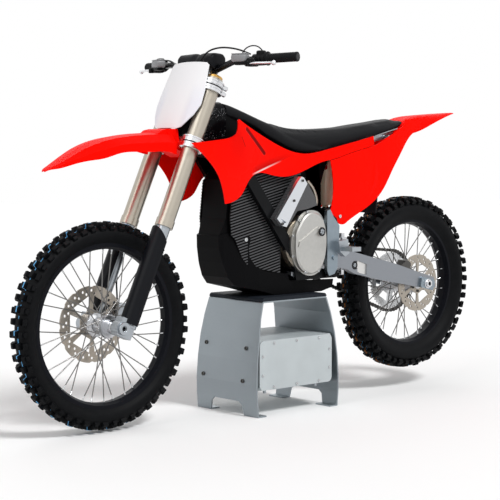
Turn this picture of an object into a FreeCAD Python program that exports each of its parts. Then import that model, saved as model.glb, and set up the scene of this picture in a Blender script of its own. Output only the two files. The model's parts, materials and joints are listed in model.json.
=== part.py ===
"""An electric dirt bike on its paddock stand.

The bike faces +X, its left side is +Y, and Z is up from the floor. The origin is on the
floor, under the middle of the length from the front tyre to the rear tyre.
Lengths are millimetres. Every driving size is a cell of the sheet Sizes.
"""

import FreeCAD, Part
import math
import os

import Sketcher
from FreeCAD import Placement, Rotation, Vector

doc = FreeCAD.newDocument("DirtBike")
sheet = doc.addObject("Spreadsheet::Sheet", "Sizes")

SIZES = {
    # overall layout
    "wheelbase": 1480.0,
    "seat_height": 1015.0,
    "front_axle_height": 355.0,
    "rear_axle_height": 418.0,
    "rake_angle": 24.3,
    "overrun": 5.0,
    "contact_gap": 0.3,
    # front wheel
    "front_tyre_radius": 349.0,
    "front_tyre_width": 88.0,
    "front_rim_radius": 267.0,
    "front_rim_width": 50.0,
    "body_half_width": 150.0,
    "front_hub_length": 112.0,
    "front_flange_radius": 40.0,
    "front_flange_spacing": 66.0,
    "front_disc_radius": 130.0,
    "front_disc_offset": 62.0,
    # rear wheel
    "rear_tyre_radius": 342.0,
    "rear_tyre_width": 118.0,
    "rear_rim_radius": 242.0,
    "rear_rim_width": 64.0,
    "rear_flange_radius": 44.0,
    "rear_flange_spacing": 62.0,
    "rear_disc_radius": 112.0,
    "rear_disc_offset": 72.0,
    # wheel details
    "hub_stub": 2.0,
    "hub_play": 0.8,
    "front_axle_length": 236.0,
    "rear_axle_length": 268.0,
    "lug_height": 15.0,
    "rim_depth": 11.0,
    "rim_lip": 10.0,
    "rim_wall": 3.0,
    "hub_barrel_radius": 24.0,
    "flange_thickness": 7.0,
    "spoke_diameter": 3.8,
    "spoke_sweep": 52.0,
    "disc_thickness": 4.0,
    "axle_radius": 12.5,
    "axle_bore_radius": 8.0,
    "axle_clearance": 0.3,
    "collar_radius": 18.0,
    # fork
    "fork_spacing": 196.0,
    "axle_lead": 32.0,
    "clamp_offset": 22.0,
    "fork_tube_radius": 29.0,
    "fork_leg_radius": 24.0,
    "fork_tube_start": 372.0,
    "fork_tube_end": 920.0,
    "fork_lug_length": 38.0,
    "fork_lug_radius": 26.0,
    "lower_clamp_height": 676.0,
    "upper_clamp_height": 890.0,
    "clamp_thickness": 40.0,
    "clamp_ring_wall": 8.0,
    "stem_radius": 15.0,
    "head_tube_radius": 29.0,
    "head_clearance": 2.0,
    "guard_radius": 36.0,
    "guard_wall": 3.0,
    "guard_start": 22.0,
    "guard_end": 365.0,
    "guard_slope": 42.0,
    "plate_thickness": 3.0,
    "fender_thickness": 3.0,
    # small parts of the wheels, the fork and the bars
    "chain_clearance": 1.5,
    "wheel_clearance": 5.5,
    "front_caliper_length": 88.0,
    "front_caliper_depth": 46.0,
    "rear_caliper_length": 68.0,
    "rear_caliper_depth": 38.0,
    "caliper_width": 40.0,
    "caliper_clearance": 5.0,
    "bracket_thickness": 5.0,
    "wiper_height": 26.0,
    "wiper_wall": 2.5,
    "cap_height": 9.0,
    "fork_insertion": 40.0,
    "bar_mount_length": 30.0,
    "bar_mount_spacing": 104.0,
    "bar_mount_wall": 8.0,
    "bar_post_radius": 14.0,
    "bar_middle_radius": 14.3,
    "bar_middle_length": 150.0,
    "bar_bend_radius": 70.0,
    "grip_flange_thickness": 5.0,
    "perch_radius": 14.0,
    "perch_wall": 5.0,
    "lever_lead": 62.0,
    "lever_radius": 5.5,
    "reservoir_box_length": 44.0,
    "reservoir_box_width": 44.0,
    "reservoir_box_height": 30.0,
    "number_plate_bend": 350.0,
    "number_plate_lead": 58.0,
    "number_plate_low": 712.0,
    "number_plate_height": 250.0,
    "number_plate_width": 236.0,
    "spacer_radius": 7.0,
    "hose_radius": 3.0,
    # small parts of the chassis
    "drive_shaft_radius": 12.0,
    "motor_cover_chamfer": 5.0,
    "motor_flange_thickness": 8.0,
    "motor_ring_height": 4.0,
    "motor_ring_width": 4.0,
    "motor_cap_radius": 17.0,
    "motor_cap_height": 7.0,
    "motor_ridge_height": 5.0,
    "pivot_pin_radius": 9.0,
    "stem_clearance": 0.3,
    "axle_block_length": 78.0,
    "axle_block_height": 42.0,
    "axle_block_thickness": 10.0,
    "footpeg_length": 82.0,
    "footpeg_width": 46.0,
    "footpeg_height": 16.0,
    "guide_thickness": 3.0,
    "subframe_thickness": 16.0,
    "subframe_inset": 52.0,
    "mud_flap_width": 150.0,
    "tyre_clearance": 12.0,
    "boss_radius": 7.0,
    # handlebar
    "bar_width": 808.0,
    "bar_radius": 11.1,
    "bar_height": 1212.0,
    "bar_rise": 35.0,
    "bar_clamp_setback": 430.0,
    "bar_sweep": 80.0,
    "grip_radius": 16.0,
    "grip_length": 118.0,
    "grip_flange_radius": 24.0,
    "bar_pad_length": 190.0,
    "bar_pad_depth": 70.0,
    "bar_pad_height": 62.0,
    # battery, motor and frame
    "battery_width": 156.0,
    "rib_depth": 5.0,
    "rib_pitch": 9.0,
    "beam_inset": 92.0,
    "beam_thickness": 18.0,
    "backbone_width": 70.0,
    "skid_wall": 5.0,
    "skid_width": 182.0,
    "motor_radius": 98.0,
    "motor_right": 58.0,
    "motor_cover_reach": 138.0,
    "inverter_reach": 130.0,
    "inverter_bar_reach": 146.0,
    "inverter_recess_depth": 9.0,
    "pivot_plate_inset": 120.0,
    "pivot_plate_thickness": 16.0,
    # rear suspension and drive
    "arm_inset": 92.0,
    "arm_thickness": 26.0,
    "pivot_radius": 22.0,
    "arm_pocket_depth": 5.0,
    "arm_cap_radius": 17.0,
    "chain_pitch": 15.875,
    "chain_offset": 76.0,
    "chain_inner_width": 8.4,
    "chain_plate_thickness": 3.0,
    "chain_plate_height": 14.0,
    "sprocket_thickness": 6.0,
    "rear_teeth": 48.0,
    "drive_teeth": 14.0,
    "shock_radius": 30.0,
    "spring_radius": 34.0,
    "spring_wire_radius": 5.5,
    # bodywork
    "panel_thickness": 3.5,
    # stand
    "stand_top_length": 316.0,
    "stand_foot_length": 394.0,
    "stand_top_width": 290.0,
    "stand_foot_width": 330.0,
    "stand_sheet": 5.0,
    "stand_flange": 40.0,
    "stand_bend": 9.0,
    "stand_pad_thickness": 13.0,
    "charger_length": 356.0,
    "charger_width": 290.0,
    "charger_height": 176.0,
    "charger_clearance": 92.0,
    "charger_cover_thickness": 8.0,
    "charger_corner": 20.0,
}

for row, (alias, value) in enumerate(SIZES.items(), start=1):
    sheet.set("A%d" % row, alias)
    sheet.set("B%d" % row, repr(value))
    sheet.setAlias("B%d" % row, alias)
doc.recompute()


class Size:
    """A driving size or a sum of them: its sheet expression and its present value."""

    def __init__(self, text, value):
        self.text = text
        self.value = float(value)

    def _join(self, other, sign, value):
        text = other.text if isinstance(other, Size) else repr(float(other))
        return Size("(%s %s %s)" % (self.text, sign, text), value)

    def __add__(self, other):
        return self._join(other, "+", self.value + float(other))

    def __sub__(self, other):
        return self._join(other, "-", self.value - float(other))

    def __mul__(self, other):
        return self._join(other, "*", self.value * float(other))

    def __truediv__(self, other):
        return self._join(other, "/", self.value / float(other))

    def __rsub__(self, other):
        return Size("(%r - %s)" % (float(other), self.text), float(other) - self.value)

    def __neg__(self):
        return Size("(0 - %s)" % self.text, -self.value)

    def __float__(self):
        return self.value

    __radd__ = __add__
    __rmul__ = __mul__


def size(alias):
    """The size that a cell of the sheet holds."""
    return Size("Sizes." + alias, sheet.get(alias))


class Sizes:
    """Reads the sheet's cells as attributes: g.wheelbase is the cell wheelbase."""

    def __getattr__(self, alias):
        return size(alias)


g = Sizes()
ZERO = Size("0", 0)

# The length runs from the front tyre's tread to the rear tyre's, with the origin at its middle.
front_axle_x = (g.wheelbase + g.rear_tyre_radius - g.front_tyre_radius) / 2
rear_axle_x = front_axle_x - g.wheelbase
front_axle = Vector(float(front_axle_x), 0, float(g.front_axle_height))
rear_axle = Vector(float(rear_axle_x), 0, float(g.rear_axle_height))

rake = math.radians(float(g.rake_angle))
FORK_UP = Vector(-math.sin(rake), 0, math.cos(rake))
FORK_FORWARD = Vector(math.cos(rake), 0, math.sin(rake))
ALONG_Y = Rotation(Vector(1, 0, 0), -90)


def fork_point(height, side=0.0, forward=0.0):
    """A point by its height along the fork's centreline, its side offset and its lead."""
    foot = front_axle - FORK_FORWARD * float(g.axle_lead)
    return foot + FORK_UP * float(height) + FORK_FORWARD * float(forward) + Vector(0, float(side), 0)


def fork_placement(height, side=0.0, forward=0.0):
    """Local Z runs up the fork and local X points forward."""
    return Placement(fork_point(height, side, forward), Rotation(Vector(0, 1, 0), -float(g.rake_angle)))


def side_point(shares, y=0.0):
    """A point of the body by its shares of the wheelbase, behind the front axle, and of the seat's height."""
    behind, up = shares
    return Vector(float(front_axle_x) - behind * float(g.wheelbase), float(y), up * float(g.seat_height))


# Helpers that make named sub-parts

def keep(obj, label):
    """Marks a finished sub-part: its label names its file."""
    obj.Label = label
    FINISHED.append(obj)
    return obj


FINISHED = []


def feature(label, shape):
    """A sub-part whose shape comes from Part's own functions."""
    obj = doc.addObject("Part::Feature", label)
    obj.Shape = shape
    return keep(obj, label)


def finished(*labels):
    """The shapes of sub-parts that are already made, as one tool for a cut."""
    return Part.makeCompound([obj.Shape for obj in FINISHED if obj.Label in labels])


def bind(obj, **properties):
    """Binds properties of an object to sizes of the sheet."""
    for name, value in properties.items():
        obj.setExpression(name, value.text)


def cylinder(name, radius, length, centre=None, axis="Y"):
    """A Part::Cylinder bound to the sheet, centred on a point, along Y or Z."""
    obj = doc.addObject("Part::Cylinder", name)
    bind(obj, Radius=radius, Height=length)
    centre = centre or Vector()
    if axis == "Y":
        obj.Placement = Placement(centre - Vector(0, float(length) / 2, 0), ALONG_Y)
    else:
        obj.Placement = Placement(centre - Vector(0, 0, float(length) / 2), Rotation())
    return obj


def fuse(name, parts):
    obj = doc.addObject("Part::MultiFuse", name)
    obj.Shapes = parts
    obj.Refine = True
    return obj


def cut(name, base, tool):
    obj = doc.addObject("Part::Cut", name)
    obj.Base = base
    obj.Tool = tool
    return obj


def origin_plane(body, role):
    return next(f for f in body.Origin.OriginFeatures if f.Role == role)


def new_body(label):
    return doc.addObject("PartDesign::Body", label)


def new_sketch(body, name, plane):
    sketch = body.newObject("Sketcher::SketchObject", name)
    sketch.AttachmentSupport = [(origin_plane(body, plane), "")]
    sketch.MapMode = "FlatFace"
    return sketch


def draw_polygon(sketch, points):
    """Draws a closed outline and ties both coordinates of each corner to the sheet."""
    first = sketch.GeometryCount
    count = len(points)
    for i in range(count):
        a, b = points[i], points[(i + 1) % count]
        start = Vector(float(a[0]), float(a[1]), 0)
        end = Vector(float(b[0]), float(b[1]), 0)
        sketch.addGeometry(Part.LineSegment(start, end), False)
    for i in range(count):
        following = first + (i + 1) % count
        sketch.addConstraint(Sketcher.Constraint("Coincident", first + i, 2, following, 1))
    for i, corner in enumerate(points):
        for kind, value in zip(("DistanceX", "DistanceY"), corner):
            at = sketch.addConstraint(Sketcher.Constraint(kind, -1, 1, first + i, 1, float(value)))
            if isinstance(value, Size):
                sketch.setExpression("Constraints[%d]" % at, value.text)


def draw_circle(sketch, x, y, radius):
    """Draws a circle with its centre and radius tied to the sheet."""
    at = sketch.addGeometry(Part.Circle(Vector(float(x), float(y), 0), Vector(0, 0, 1), float(radius)), False)
    for kind, value in (("DistanceX", x), ("DistanceY", y)):
        tie = sketch.addConstraint(Sketcher.Constraint(kind, -1, 1, at, 3, float(value)))
        if isinstance(value, Size):
            sketch.setExpression("Constraints[%d]" % tie, value.text)
    tie = sketch.addConstraint(Sketcher.Constraint("Radius", at, float(radius)))
    sketch.setExpression("Constraints[%d]" % tie, radius.text)


def revolved_body(label, points):
    """A body turned about the Y axis from (radius, y) corners."""
    body = new_body(label)
    sketch = new_sketch(body, label + "_profile", "XY_Plane")
    draw_polygon(sketch, points)
    turn = body.newObject("PartDesign::Revolution", label + "_turn")
    turn.Profile = sketch
    turn.ReferenceAxis = (sketch, ["V_Axis"])
    turn.Angle = 360.0
    body.Tip = turn
    return body


def pad(body, sketch, name, depth):
    """Pads a sketch by half the depth to each side of its plane."""
    obj = body.newObject("PartDesign::Pad", name)
    obj.Profile = sketch
    obj.setExpression("Length", depth.text)
    obj.Midplane = True
    body.Tip = obj
    return obj


def pocket(body, sketch, name, depth):
    """Cuts a sketch by half the depth to each side of its plane."""
    obj = body.newObject("PartDesign::Pocket", name)
    obj.Profile = sketch
    obj.setExpression("Length", depth.text)
    obj.Midplane = True
    body.Tip = obj
    return obj


def polar(body, feature_to_turn, sketch, name, count):
    """Repeats a feature about the axis that is square to its sketch, through the body's origin."""
    obj = body.newObject("PartDesign::PolarPattern", name)
    obj.Originals = [feature_to_turn]
    obj.Axis = (sketch, ["N_Axis"])
    obj.Angle = 360.0
    obj.Occurrences = count
    body.Tip = obj
    return obj


def mirrored(shape):
    """The same shape on the other side of the bike."""
    return shape.mirror(Vector(), Vector(0, 1, 0))


def both_sides(shape):
    return Part.makeCompound([shape, mirrored(shape)])


def spline(points):
    curve = Part.BSplineCurve()
    curve.interpolate(points)
    return curve.toShape()


def polygon_face(points):
    return Part.Face(Part.makePolygon(list(points) + [points[0]]))


def side_prism(shares, inner, outer):
    """A side-view outline, as shares, stretched from one distance off the centre plane to another."""
    face = polygon_face([side_point(pair, inner) for pair in shares])
    return face.extrude(Vector(0, float(outer) - float(inner), 0))


def stretched_face(stretches, place):
    """A face inside stretches that share their end points: two points make a line, more make a curve."""
    edges = []
    for stretch in stretches:
        points = [place(pair) for pair in stretch]
        edges.append(Part.makeLine(points[0], points[1]) if len(points) == 2 else spline(points))
    return Part.Face(Part.Wire(edges))


def curved_prism(stretches, inner, outer):
    """Like side_prism, from an outline with curved stretches."""
    face = stretched_face(stretches, lambda pair: side_point(pair, inner))
    return face.extrude(Vector(0, float(outer) - float(inner), 0))


def rod(start, end, radius):
    """A round bar between two points."""
    return Part.makeCylinder(float(radius), (end - start).Length, start, end - start)


def smooth_path(points, radii):
    """Straight runs joined by tangent arcs."""
    edges = []
    start = points[0]
    for i in range(1, len(points) - 1):
        before = (points[i - 1] - points[i]).normalize()
        after = (points[i + 1] - points[i]).normalize()
        half = before.getAngle(after) / 2
        reach = radii[i - 1] / math.tan(half)
        first = points[i] + before * reach
        last = points[i] + after * reach
        bisector = (before + after).normalize()
        middle = points[i] + bisector * (radii[i - 1] / math.sin(half) - radii[i - 1])
        edges.append(Part.LineSegment(start, first).toShape())
        edges.append(Part.Arc(first, middle, last).toShape())
        start = last
    edges.append(Part.LineSegment(start, points[-1]).toShape())
    return Part.Wire(edges)


def tube_along(path, radius):
    """A round bar swept along a path."""
    start = path.Edges[0]
    direction = start.tangentAt(start.FirstParameter)
    ring = Part.Wire(Part.Circle(start.valueAt(start.FirstParameter), direction, float(radius)).toShape())
    return path.makePipeShell([ring], True, False)


def closed_spline_face(points):
    """A face inside a smooth closed curve through the points."""
    curve = Part.BSplineCurve()
    curve.interpolate(Points=points, PeriodicFlag=True)
    return Part.Face(Part.Wire(curve.toShape()))


def reach_to(shape, point):
    """How far to the left of the centre plane a shape begins, level with a point."""
    probe = Part.makeLine(Vector(point.x, 0, point.z), Vector(point.x, float(g.bar_width), point.z))
    return probe.common(shape).BoundBox.YMin

# Side-view outlines. The first share is of the wheelbase, measured back from the front axle;
# the second is of the seat's height, measured up from the floor.

# The battery case, side view.
BATTERY_SHARES = [
    (0.328, 0.690), (0.338, 0.823), (0.378, 0.890), (0.534, 0.890), (0.534, 0.837),
    (0.484, 0.690), (0.492, 0.631), (0.488, 0.512), (0.497, 0.415), (0.473, 0.414),
    (0.421, 0.434), (0.349, 0.457), (0.331, 0.486), (0.317, 0.538), (0.311, 0.589),
    (0.312, 0.631),
]

# The ribbed face of the battery.
RIB_SHARES = [
    (0.331, 0.690), (0.341, 0.816), (0.380, 0.882), (0.528, 0.882), (0.527, 0.837),
    (0.485, 0.694), (0.493, 0.631), (0.491, 0.490), (0.432, 0.507), (0.386, 0.522),
    (0.368, 0.552), (0.345, 0.619), (0.334, 0.631),
]

# The skid plate, outside line and upper edge.
SKID_SHARES = [
    (0.323, 0.638), (0.308, 0.631), (0.309, 0.587), (0.317, 0.537), (0.331, 0.485),
    (0.349, 0.456), (0.421, 0.433), (0.473, 0.413), (0.628, 0.413), (0.666, 0.426),
    (0.670, 0.455), (0.519, 0.461), (0.512, 0.486), (0.443, 0.499), (0.408, 0.520),
    (0.391, 0.552), (0.388, 0.580), (0.394, 0.620), (0.379, 0.638),
]

# The backbone of the frame.
BACKBONE_SHARES = [
    (0.247, 0.970), (0.281, 1.069), (0.338, 1.033), (0.405, 0.985), (0.473, 0.941),
    (0.524, 0.916), (0.574, 0.900), (0.637, 0.902), (0.733, 0.900), (0.738, 0.888),
    (0.686, 0.888), (0.670, 0.837), (0.659, 0.788), (0.666, 0.682), (0.628, 0.682),
    (0.611, 0.749), (0.611, 0.837), (0.595, 0.883), (0.541, 0.893), (0.378, 0.895),
    (0.297, 0.901),
]

# The cross member behind the head tube.
CROSS_SHARES = [
    (0.297, 0.904), (0.297, 0.941), (0.351, 0.941), (0.375, 0.904),
]

# The down beam of the frame.
BEAM_SHARES = [
    (0.297, 0.953), (0.309, 0.930), (0.378, 0.797), (0.523, 0.519), (0.530, 0.462),
    (0.666, 0.462), (0.666, 0.493), (0.556, 0.496), (0.542, 0.552), (0.404, 0.816),
    (0.344, 0.932), (0.340, 0.953),
]

# The pivot plate.
PIVOT_PLATE_SHARES = [
    (0.618, 0.708), (0.629, 0.712), (0.640, 0.686), (0.661, 0.652), (0.660, 0.612),
    (0.656, 0.552), (0.654, 0.497), (0.644, 0.478), (0.625, 0.472), (0.619, 0.490),
]

# The bridge between the pivot plates.
PIVOT_BRIDGE_SHARES = [
    (0.628, 0.682), (0.628, 0.711), (0.662, 0.678), (0.665, 0.654), (0.632, 0.654),
]

# The motor cover.
MOTOR_COVER_SHARES = [
    (0.514, 0.624), (0.514, 0.560), (0.520, 0.527), (0.535, 0.500), (0.566, 0.483),
    (0.598, 0.504), (0.614, 0.553), (0.613, 0.648), (0.597, 0.690), (0.565, 0.704),
    (0.544, 0.692), (0.526, 0.661),
]

# The motor cover's flange.
MOTOR_FLANGE_SHARES = [
    (0.507, 0.597), (0.509, 0.559), (0.519, 0.520), (0.542, 0.489), (0.578, 0.476),
    (0.610, 0.500), (0.621, 0.551), (0.625, 0.603), (0.622, 0.655), (0.607, 0.695),
    (0.578, 0.711), (0.557, 0.708), (0.536, 0.692), (0.520, 0.660), (0.510, 0.630),
]

# The recess at the foot of the inverter's bar.
INVERTER_RECESS_SHARES = [
    (0.455, 0.688), (0.473, 0.673), (0.462, 0.667),
]

# The inverter case.
INVERTER_SHARES = [
    (0.540, 0.806), (0.556, 0.806), (0.578, 0.762), (0.587, 0.729), (0.570, 0.722),
    (0.553, 0.716), (0.520, 0.710), (0.493, 0.664), (0.474, 0.656),
]

# The raised bar of the inverter case.
INVERTER_BAR_SHARES = [
    (0.523, 0.832), (0.531, 0.829), (0.543, 0.807), (0.474, 0.656), (0.461, 0.661),
    (0.443, 0.687), (0.511, 0.814),
]

# The front shroud and its band under the seat, as stretches that share their end points.
SHROUD_SHARES = [
    [(0.286, 0.743), (0.274, 0.797), (0.259, 0.840), (0.236, 0.879), (0.205, 0.917), (0.176, 0.948)],
    [(0.176, 0.948), (0.221, 0.953), (0.259, 0.959), (0.298, 0.967), (0.320, 0.979)],
    [(0.320, 0.979), (0.329, 0.998), (0.334, 1.026)],
    [(0.334, 1.026), (0.341, 1.030)],
    [(0.341, 1.030), (0.388, 0.995), (0.433, 0.967), (0.479, 0.940), (0.524, 0.920), (0.568, 0.913), (0.618, 0.921),
     (0.659, 0.933), (0.739, 0.956), (0.812, 0.979)],
    [(0.812, 0.979), (0.812, 0.946)],
    [(0.812, 0.946), (0.770, 0.931), (0.726, 0.917), (0.690, 0.903), (0.651, 0.890)],
    [(0.651, 0.890), (0.581, 0.864), (0.537, 0.842), (0.511, 0.834), (0.480, 0.832), (0.440, 0.840), (0.407, 0.847),
     (0.382, 0.841), (0.366, 0.826), (0.352, 0.800), (0.337, 0.770), (0.316, 0.752), (0.286, 0.743)],
]

# The side panel, as stretches.
SIDE_PANEL_SHARES = [
    [(0.651, 0.888), (0.690, 0.901), (0.726, 0.915), (0.770, 0.929), (0.812, 0.944)],
    [(0.812, 0.944), (0.826, 0.950)],
    [(0.826, 0.950), (0.908, 1.003)],
    [(0.908, 1.003), (0.918, 1.012)],
    [(0.918, 1.012), (0.931, 1.027), (0.938, 1.044)],
    [(0.938, 1.044), (0.984, 1.050)],
    [(0.984, 1.050), (1.004, 1.030), (1.008, 1.014)],
    [(1.008, 1.014), (0.984, 1.004), (0.962, 0.990), (0.934, 0.955), (0.911, 0.916), (0.873, 0.852), (0.836, 0.782),
     (0.800, 0.738), (0.762, 0.708), (0.702, 0.665)],
    [(0.702, 0.665), (0.688, 0.655), (0.673, 0.658)],
    [(0.673, 0.658), (0.659, 0.679), (0.645, 0.706)],
    [(0.645, 0.706), (0.653, 0.746), (0.657, 0.811), (0.654, 0.863), (0.651, 0.888)],
]

# The swingarm: shares of the way from the pivot to the rear axle, along it and above it.
SWINGARM_SHARES = [
    (-0.046, 0.029), (0.007, 0.054), (0.122, 0.064), (0.199, 0.080), (0.398, 0.078),
    (0.632, 0.079), (0.912, 0.065), (1.075, 0.060), (1.111, -0.009), (0.940, -0.039),
    (0.498, -0.062), (0.251, -0.066), (0.183, -0.050), (0.033, -0.055), (-0.026, -0.054),
]

# The pocket in an arm's outer side, and the middle of the round recess ahead of it.
ARM_POCKET_SHARES = [
    (0.262, 0.030), (0.362, 0.020), (0.374, -0.052), (0.300, -0.052), (0.280, -0.046),
]
ARM_CAP_SHARES = (0.246, -0.008)

# The bridge between the arms.
ARM_BRIDGE_SHARES = [
    (0.101, 0.045), (0.197, 0.065), (0.248, 0.062), (0.274, -0.045), (0.180, -0.041), (0.122, -0.043),
]

# The subframe rail.
SUBFRAME_SHARES = [
    (0.611, 0.914), (0.637, 0.920), (0.714, 0.942), (0.781, 0.965), (0.864, 0.988),
    (0.905, 0.999), (0.907, 0.979), (0.864, 0.967), (0.781, 0.944), (0.714, 0.920),
    (0.676, 0.892), (0.611, 0.892),
]

# The rear cross member of the subframe.
SUBFRAME_CROSS_SHARES = [
    (0.878, 0.987), (0.899, 0.993), (0.899, 0.981), (0.878, 0.975),
]

# The front cross member of the subframe.
SUBFRAME_FRONT_SHARES = [
    (0.642, 0.895), (0.723, 0.893), (0.723, 0.916), (0.642, 0.911),
]

# The hollow of the skid plate.
SKID_INSIDE_SHARES = [
    (0.311, 0.709), (0.311, 0.631), (0.313, 0.588), (0.320, 0.539), (0.334, 0.489),
    (0.350, 0.462), (0.422, 0.439), (0.474, 0.418), (0.628, 0.418), (0.689, 0.437),
    (0.689, 0.709),
]

# The spacer between a beam's foot and the pivot plate.
BEAM_FOOT_SHARES = [
    (0.625, 0.464), (0.665, 0.464), (0.665, 0.491), (0.625, 0.492),
]

# The core behind the inverter case.
INVERTER_CORE_SHARES = [
    (0.501, 0.788), (0.534, 0.788), (0.541, 0.731), (0.505, 0.705),
]

# The raised rib on the motor cover.
MOTOR_RIDGE_SHARES = [
    (0.516, 0.584), (0.521, 0.602), (0.585, 0.654), (0.592, 0.643), (0.530, 0.590),
]

# The footpeg bracket.
PEG_MOUNT_SHARES = [
    (0.643, 0.597), (0.676, 0.603), (0.681, 0.552), (0.666, 0.540), (0.649, 0.558),
]

# The side of the chain guide.
CHAIN_GUIDE_SHARES = [
    (0.613, -0.041), (0.742, -0.031), (0.789, -0.226), (0.653, -0.207),
]

# The floor of the chain guide.
GUIDE_FLOOR_SHARES = [
    (0.651, -0.198), (0.787, -0.217), (0.789, -0.226), (0.653, -0.207),
]

# The raised block at the back of the front fender.
FENDER_BLOCK_SHARES = [
    (0.134, 0.979), (0.145, 0.991), (0.160, 0.9955), (0.190, 0.9955), (0.198, 0.925), (0.180, 0.930),
]

# The fender's mounting tongue.
TONGUE_SHARES = [
    (0.229, 0.908), (0.169, 0.948), (0.164, 0.986), (0.158, 0.986), (0.164, 0.942),
    (0.227, 0.900),
]

# The mud flap.
MUD_FLAP_SHARES = [
    (0.804, 0.954), (0.808, 0.954), (0.845, 0.788), (0.838, 0.690), (0.834, 0.690),
    (0.840, 0.788),
]

# Bodywork envelope: a station's share of the wheelbase, and at each level its share of the half-width.
ENVELOPE_LEVEL_SHARES = (0.640, 0.750, 0.850, 0.950, 1.060)
ENVELOPE_SHARES = [
    (0.162, (0.827, 0.913, 1.000, 1.033, 0.960)),
    (0.223, (0.827, 0.907, 0.980, 1.000, 0.893)),
    (0.284, (0.827, 0.907, 0.973, 0.973, 0.813)),
    (0.338, (0.800, 0.860, 0.920, 0.893, 0.707)),
    (0.399, (0.747, 0.787, 0.820, 0.767, 0.620)),
    (0.473, (0.720, 0.727, 0.727, 0.667, 0.580)),
    (0.541, (0.720, 0.713, 0.700, 0.640, 0.573)),
    (0.608, (0.747, 0.727, 0.700, 0.633, 0.573)),
    (0.676, (0.773, 0.753, 0.713, 0.640, 0.573)),
    (0.757, (0.793, 0.773, 0.720, 0.647, 0.580)),
    (0.838, (0.800, 0.773, 0.727, 0.653, 0.587)),
    (0.919, (0.767, 0.747, 0.707, 0.647, 0.580)),
    (1.000, (0.693, 0.680, 0.653, 0.620, 0.560)),
]

# Seat stations: back from the front axle, top, lower edge, half-width.
SEAT_SHARES = [
    (0.338, 1.090, 1.046, 0.333),
    (0.378, 1.074, 1.028, 0.387),
    (0.423, 1.050, 1.004, 0.440),
    (0.473, 1.027, 0.965, 0.480),
    (0.524, 1.008, 0.934, 0.513),
    (0.574, 1.000, 0.917, 0.533),
    (0.637, 1.000, 0.922, 0.547),
    (0.714, 1.006, 0.938, 0.547),
    (0.781, 1.017, 0.961, 0.547),
    (0.864, 1.032, 0.986, 0.547),
    (0.918, 1.043, 1.012, 0.533),
    (0.946, 1.048, 1.036, 0.467),
]

# Tank cover stations.
TANK_COVER_SHARES = [
    (0.273, 1.003, 0.960, 0.280),
    (0.297, 1.074, 0.961, 0.307),
    (0.316, 1.088, 0.964, 0.327),
    (0.336, 1.092, 0.969, 0.360),
]

# Front fender stations: back from the front axle, ridge, edge, half-width.
FRONT_FENDER_SHARES = [
    (-0.154, 0.859, 0.855, 0.067),
    (-0.134, 0.876, 0.864, 0.233),
    (-0.105, 0.899, 0.876, 0.353),
    (-0.066, 0.930, 0.889, 0.447),
    (-0.025, 0.954, 0.898, 0.513),
    (0.010, 0.966, 0.913, 0.560),
    (0.060, 0.976, 0.918, 0.587),
    (0.110, 0.981, 0.919, 0.593),
    (0.142, 0.984, 0.919, 0.587),
    (0.172, 0.988, 0.910, 0.540),
]

# Creases of the front fender: share of the half-width, share of the drop from ridge to edge.
FENDER_CREASE_SHARES = [(1.0, 1.0), (0.97, 0.52), (0.62, 0.10), (0.0, 0.0)]

# Rear fender stations.
REAR_FENDER_SHARES = [
    (0.893, 0.985, 0.965, 0.520),
    (0.946, 1.032, 0.986, 0.553),
    (0.994, 1.055, 1.001, 0.567),
    (1.040, 1.063, 1.024, 0.547),
    (1.090, 1.069, 1.047, 0.467),
    (1.135, 1.074, 1.063, 0.340),
    (1.176, 1.078, 1.074, 0.200),
]

# Single places in the side view.
MOTOR_CENTRE_SHARES = (0.5628, 0.5931)
MOTOR_CAP_SHARES = (0.5930, 0.6340)
DRIVE_CENTRE_SHARES = (0.5865, 0.5517)
PIVOT_SHARES = (0.6419, 0.5369)
SHOCK_TOP_SHARES = (0.7074, 0.8690)
# The shock's foot lies along and above the line from the pivot to the rear axle.
SHOCK_FOOT_SHARES = (0.131, 0.084)
FOOTPEG_SHARES = (0.6655, 0.5695)
STAND_CENTRE_SHARES = (0.5034, 0.0000)

# The skid plate's nose in plan: back share and share of its half-width.
SKID_NOSE_SHARES = [(0.304, 0.62), (0.321, 0.75), (0.348, 0.84), (0.378, 0.93), (0.419, 1.00), (0.696, 1.00)]
# The number plate: shares of its half-width and of its height.
NUMBER_PLATE_SHARES = [
    (0.45, 0.0), (0.60, 0.03), (0.88, 0.22), (1.0, 0.38), (0.97, 0.60), (0.86, 0.88), (0.83, 0.97), (0.74, 1.0),
    (-0.74, 1.0), (-0.83, 0.97), (-0.86, 0.88), (-0.97, 0.60), (-1.0, 0.38), (-0.88, 0.22), (-0.60, 0.03),
    (-0.45, 0.0),
]
# The handlebar's line: shares of its half-width, its rise and its sweep.
BAR_SHARES = [
    (-1.0, 1.0, 1.0), (-0.42, 0.86, 0.12), (-0.19, 0.0, 0.0), (0.19, 0.0, 0.0), (0.42, 0.86, 0.12), (1.0, 1.0, 1.0),
]
# The bar pad in side view: shares of its depth and of its height, from the bar's middle.
BAR_PAD_SHARES = [
    (-0.50, 0.20), (-0.50, 0.72), (-0.34, 0.95), (0.30, 0.98), (0.50, 0.74), (0.50, 0.20), (0.34, 0.06), (-0.34, 0.06),
]
# The stand's end wall: its bow in side view, and its outline from ahead.
STAND_BOW_SHARES = [(1.0, 0.0), (1.14, 0.14), (1.17, 0.28), (1.05, 0.48), (0.78, 0.67), (0.44, 0.85), (0.0, 1.0)]
STAND_WALL_SHARES = [
    (0.0, 0.12), (0.40, 0.12), (0.50, 0.09), (0.55, 0.0), (1.0, 0.0), (0.995, 0.27), (0.965, 0.67), (0.88, 1.0), (0.0, 1.0),
]

# Bosses that carry the bodywork.
PANEL_BOSS_SHARES = [(0.696, 0.920), (0.872, 0.977)]
BELLY_SHARE = 0.413
SHROUD_BOSS_SHARES = (0.328, 0.922)

# Wheels: each is made about the Y axis at the origin and then moved to its axle

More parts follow.
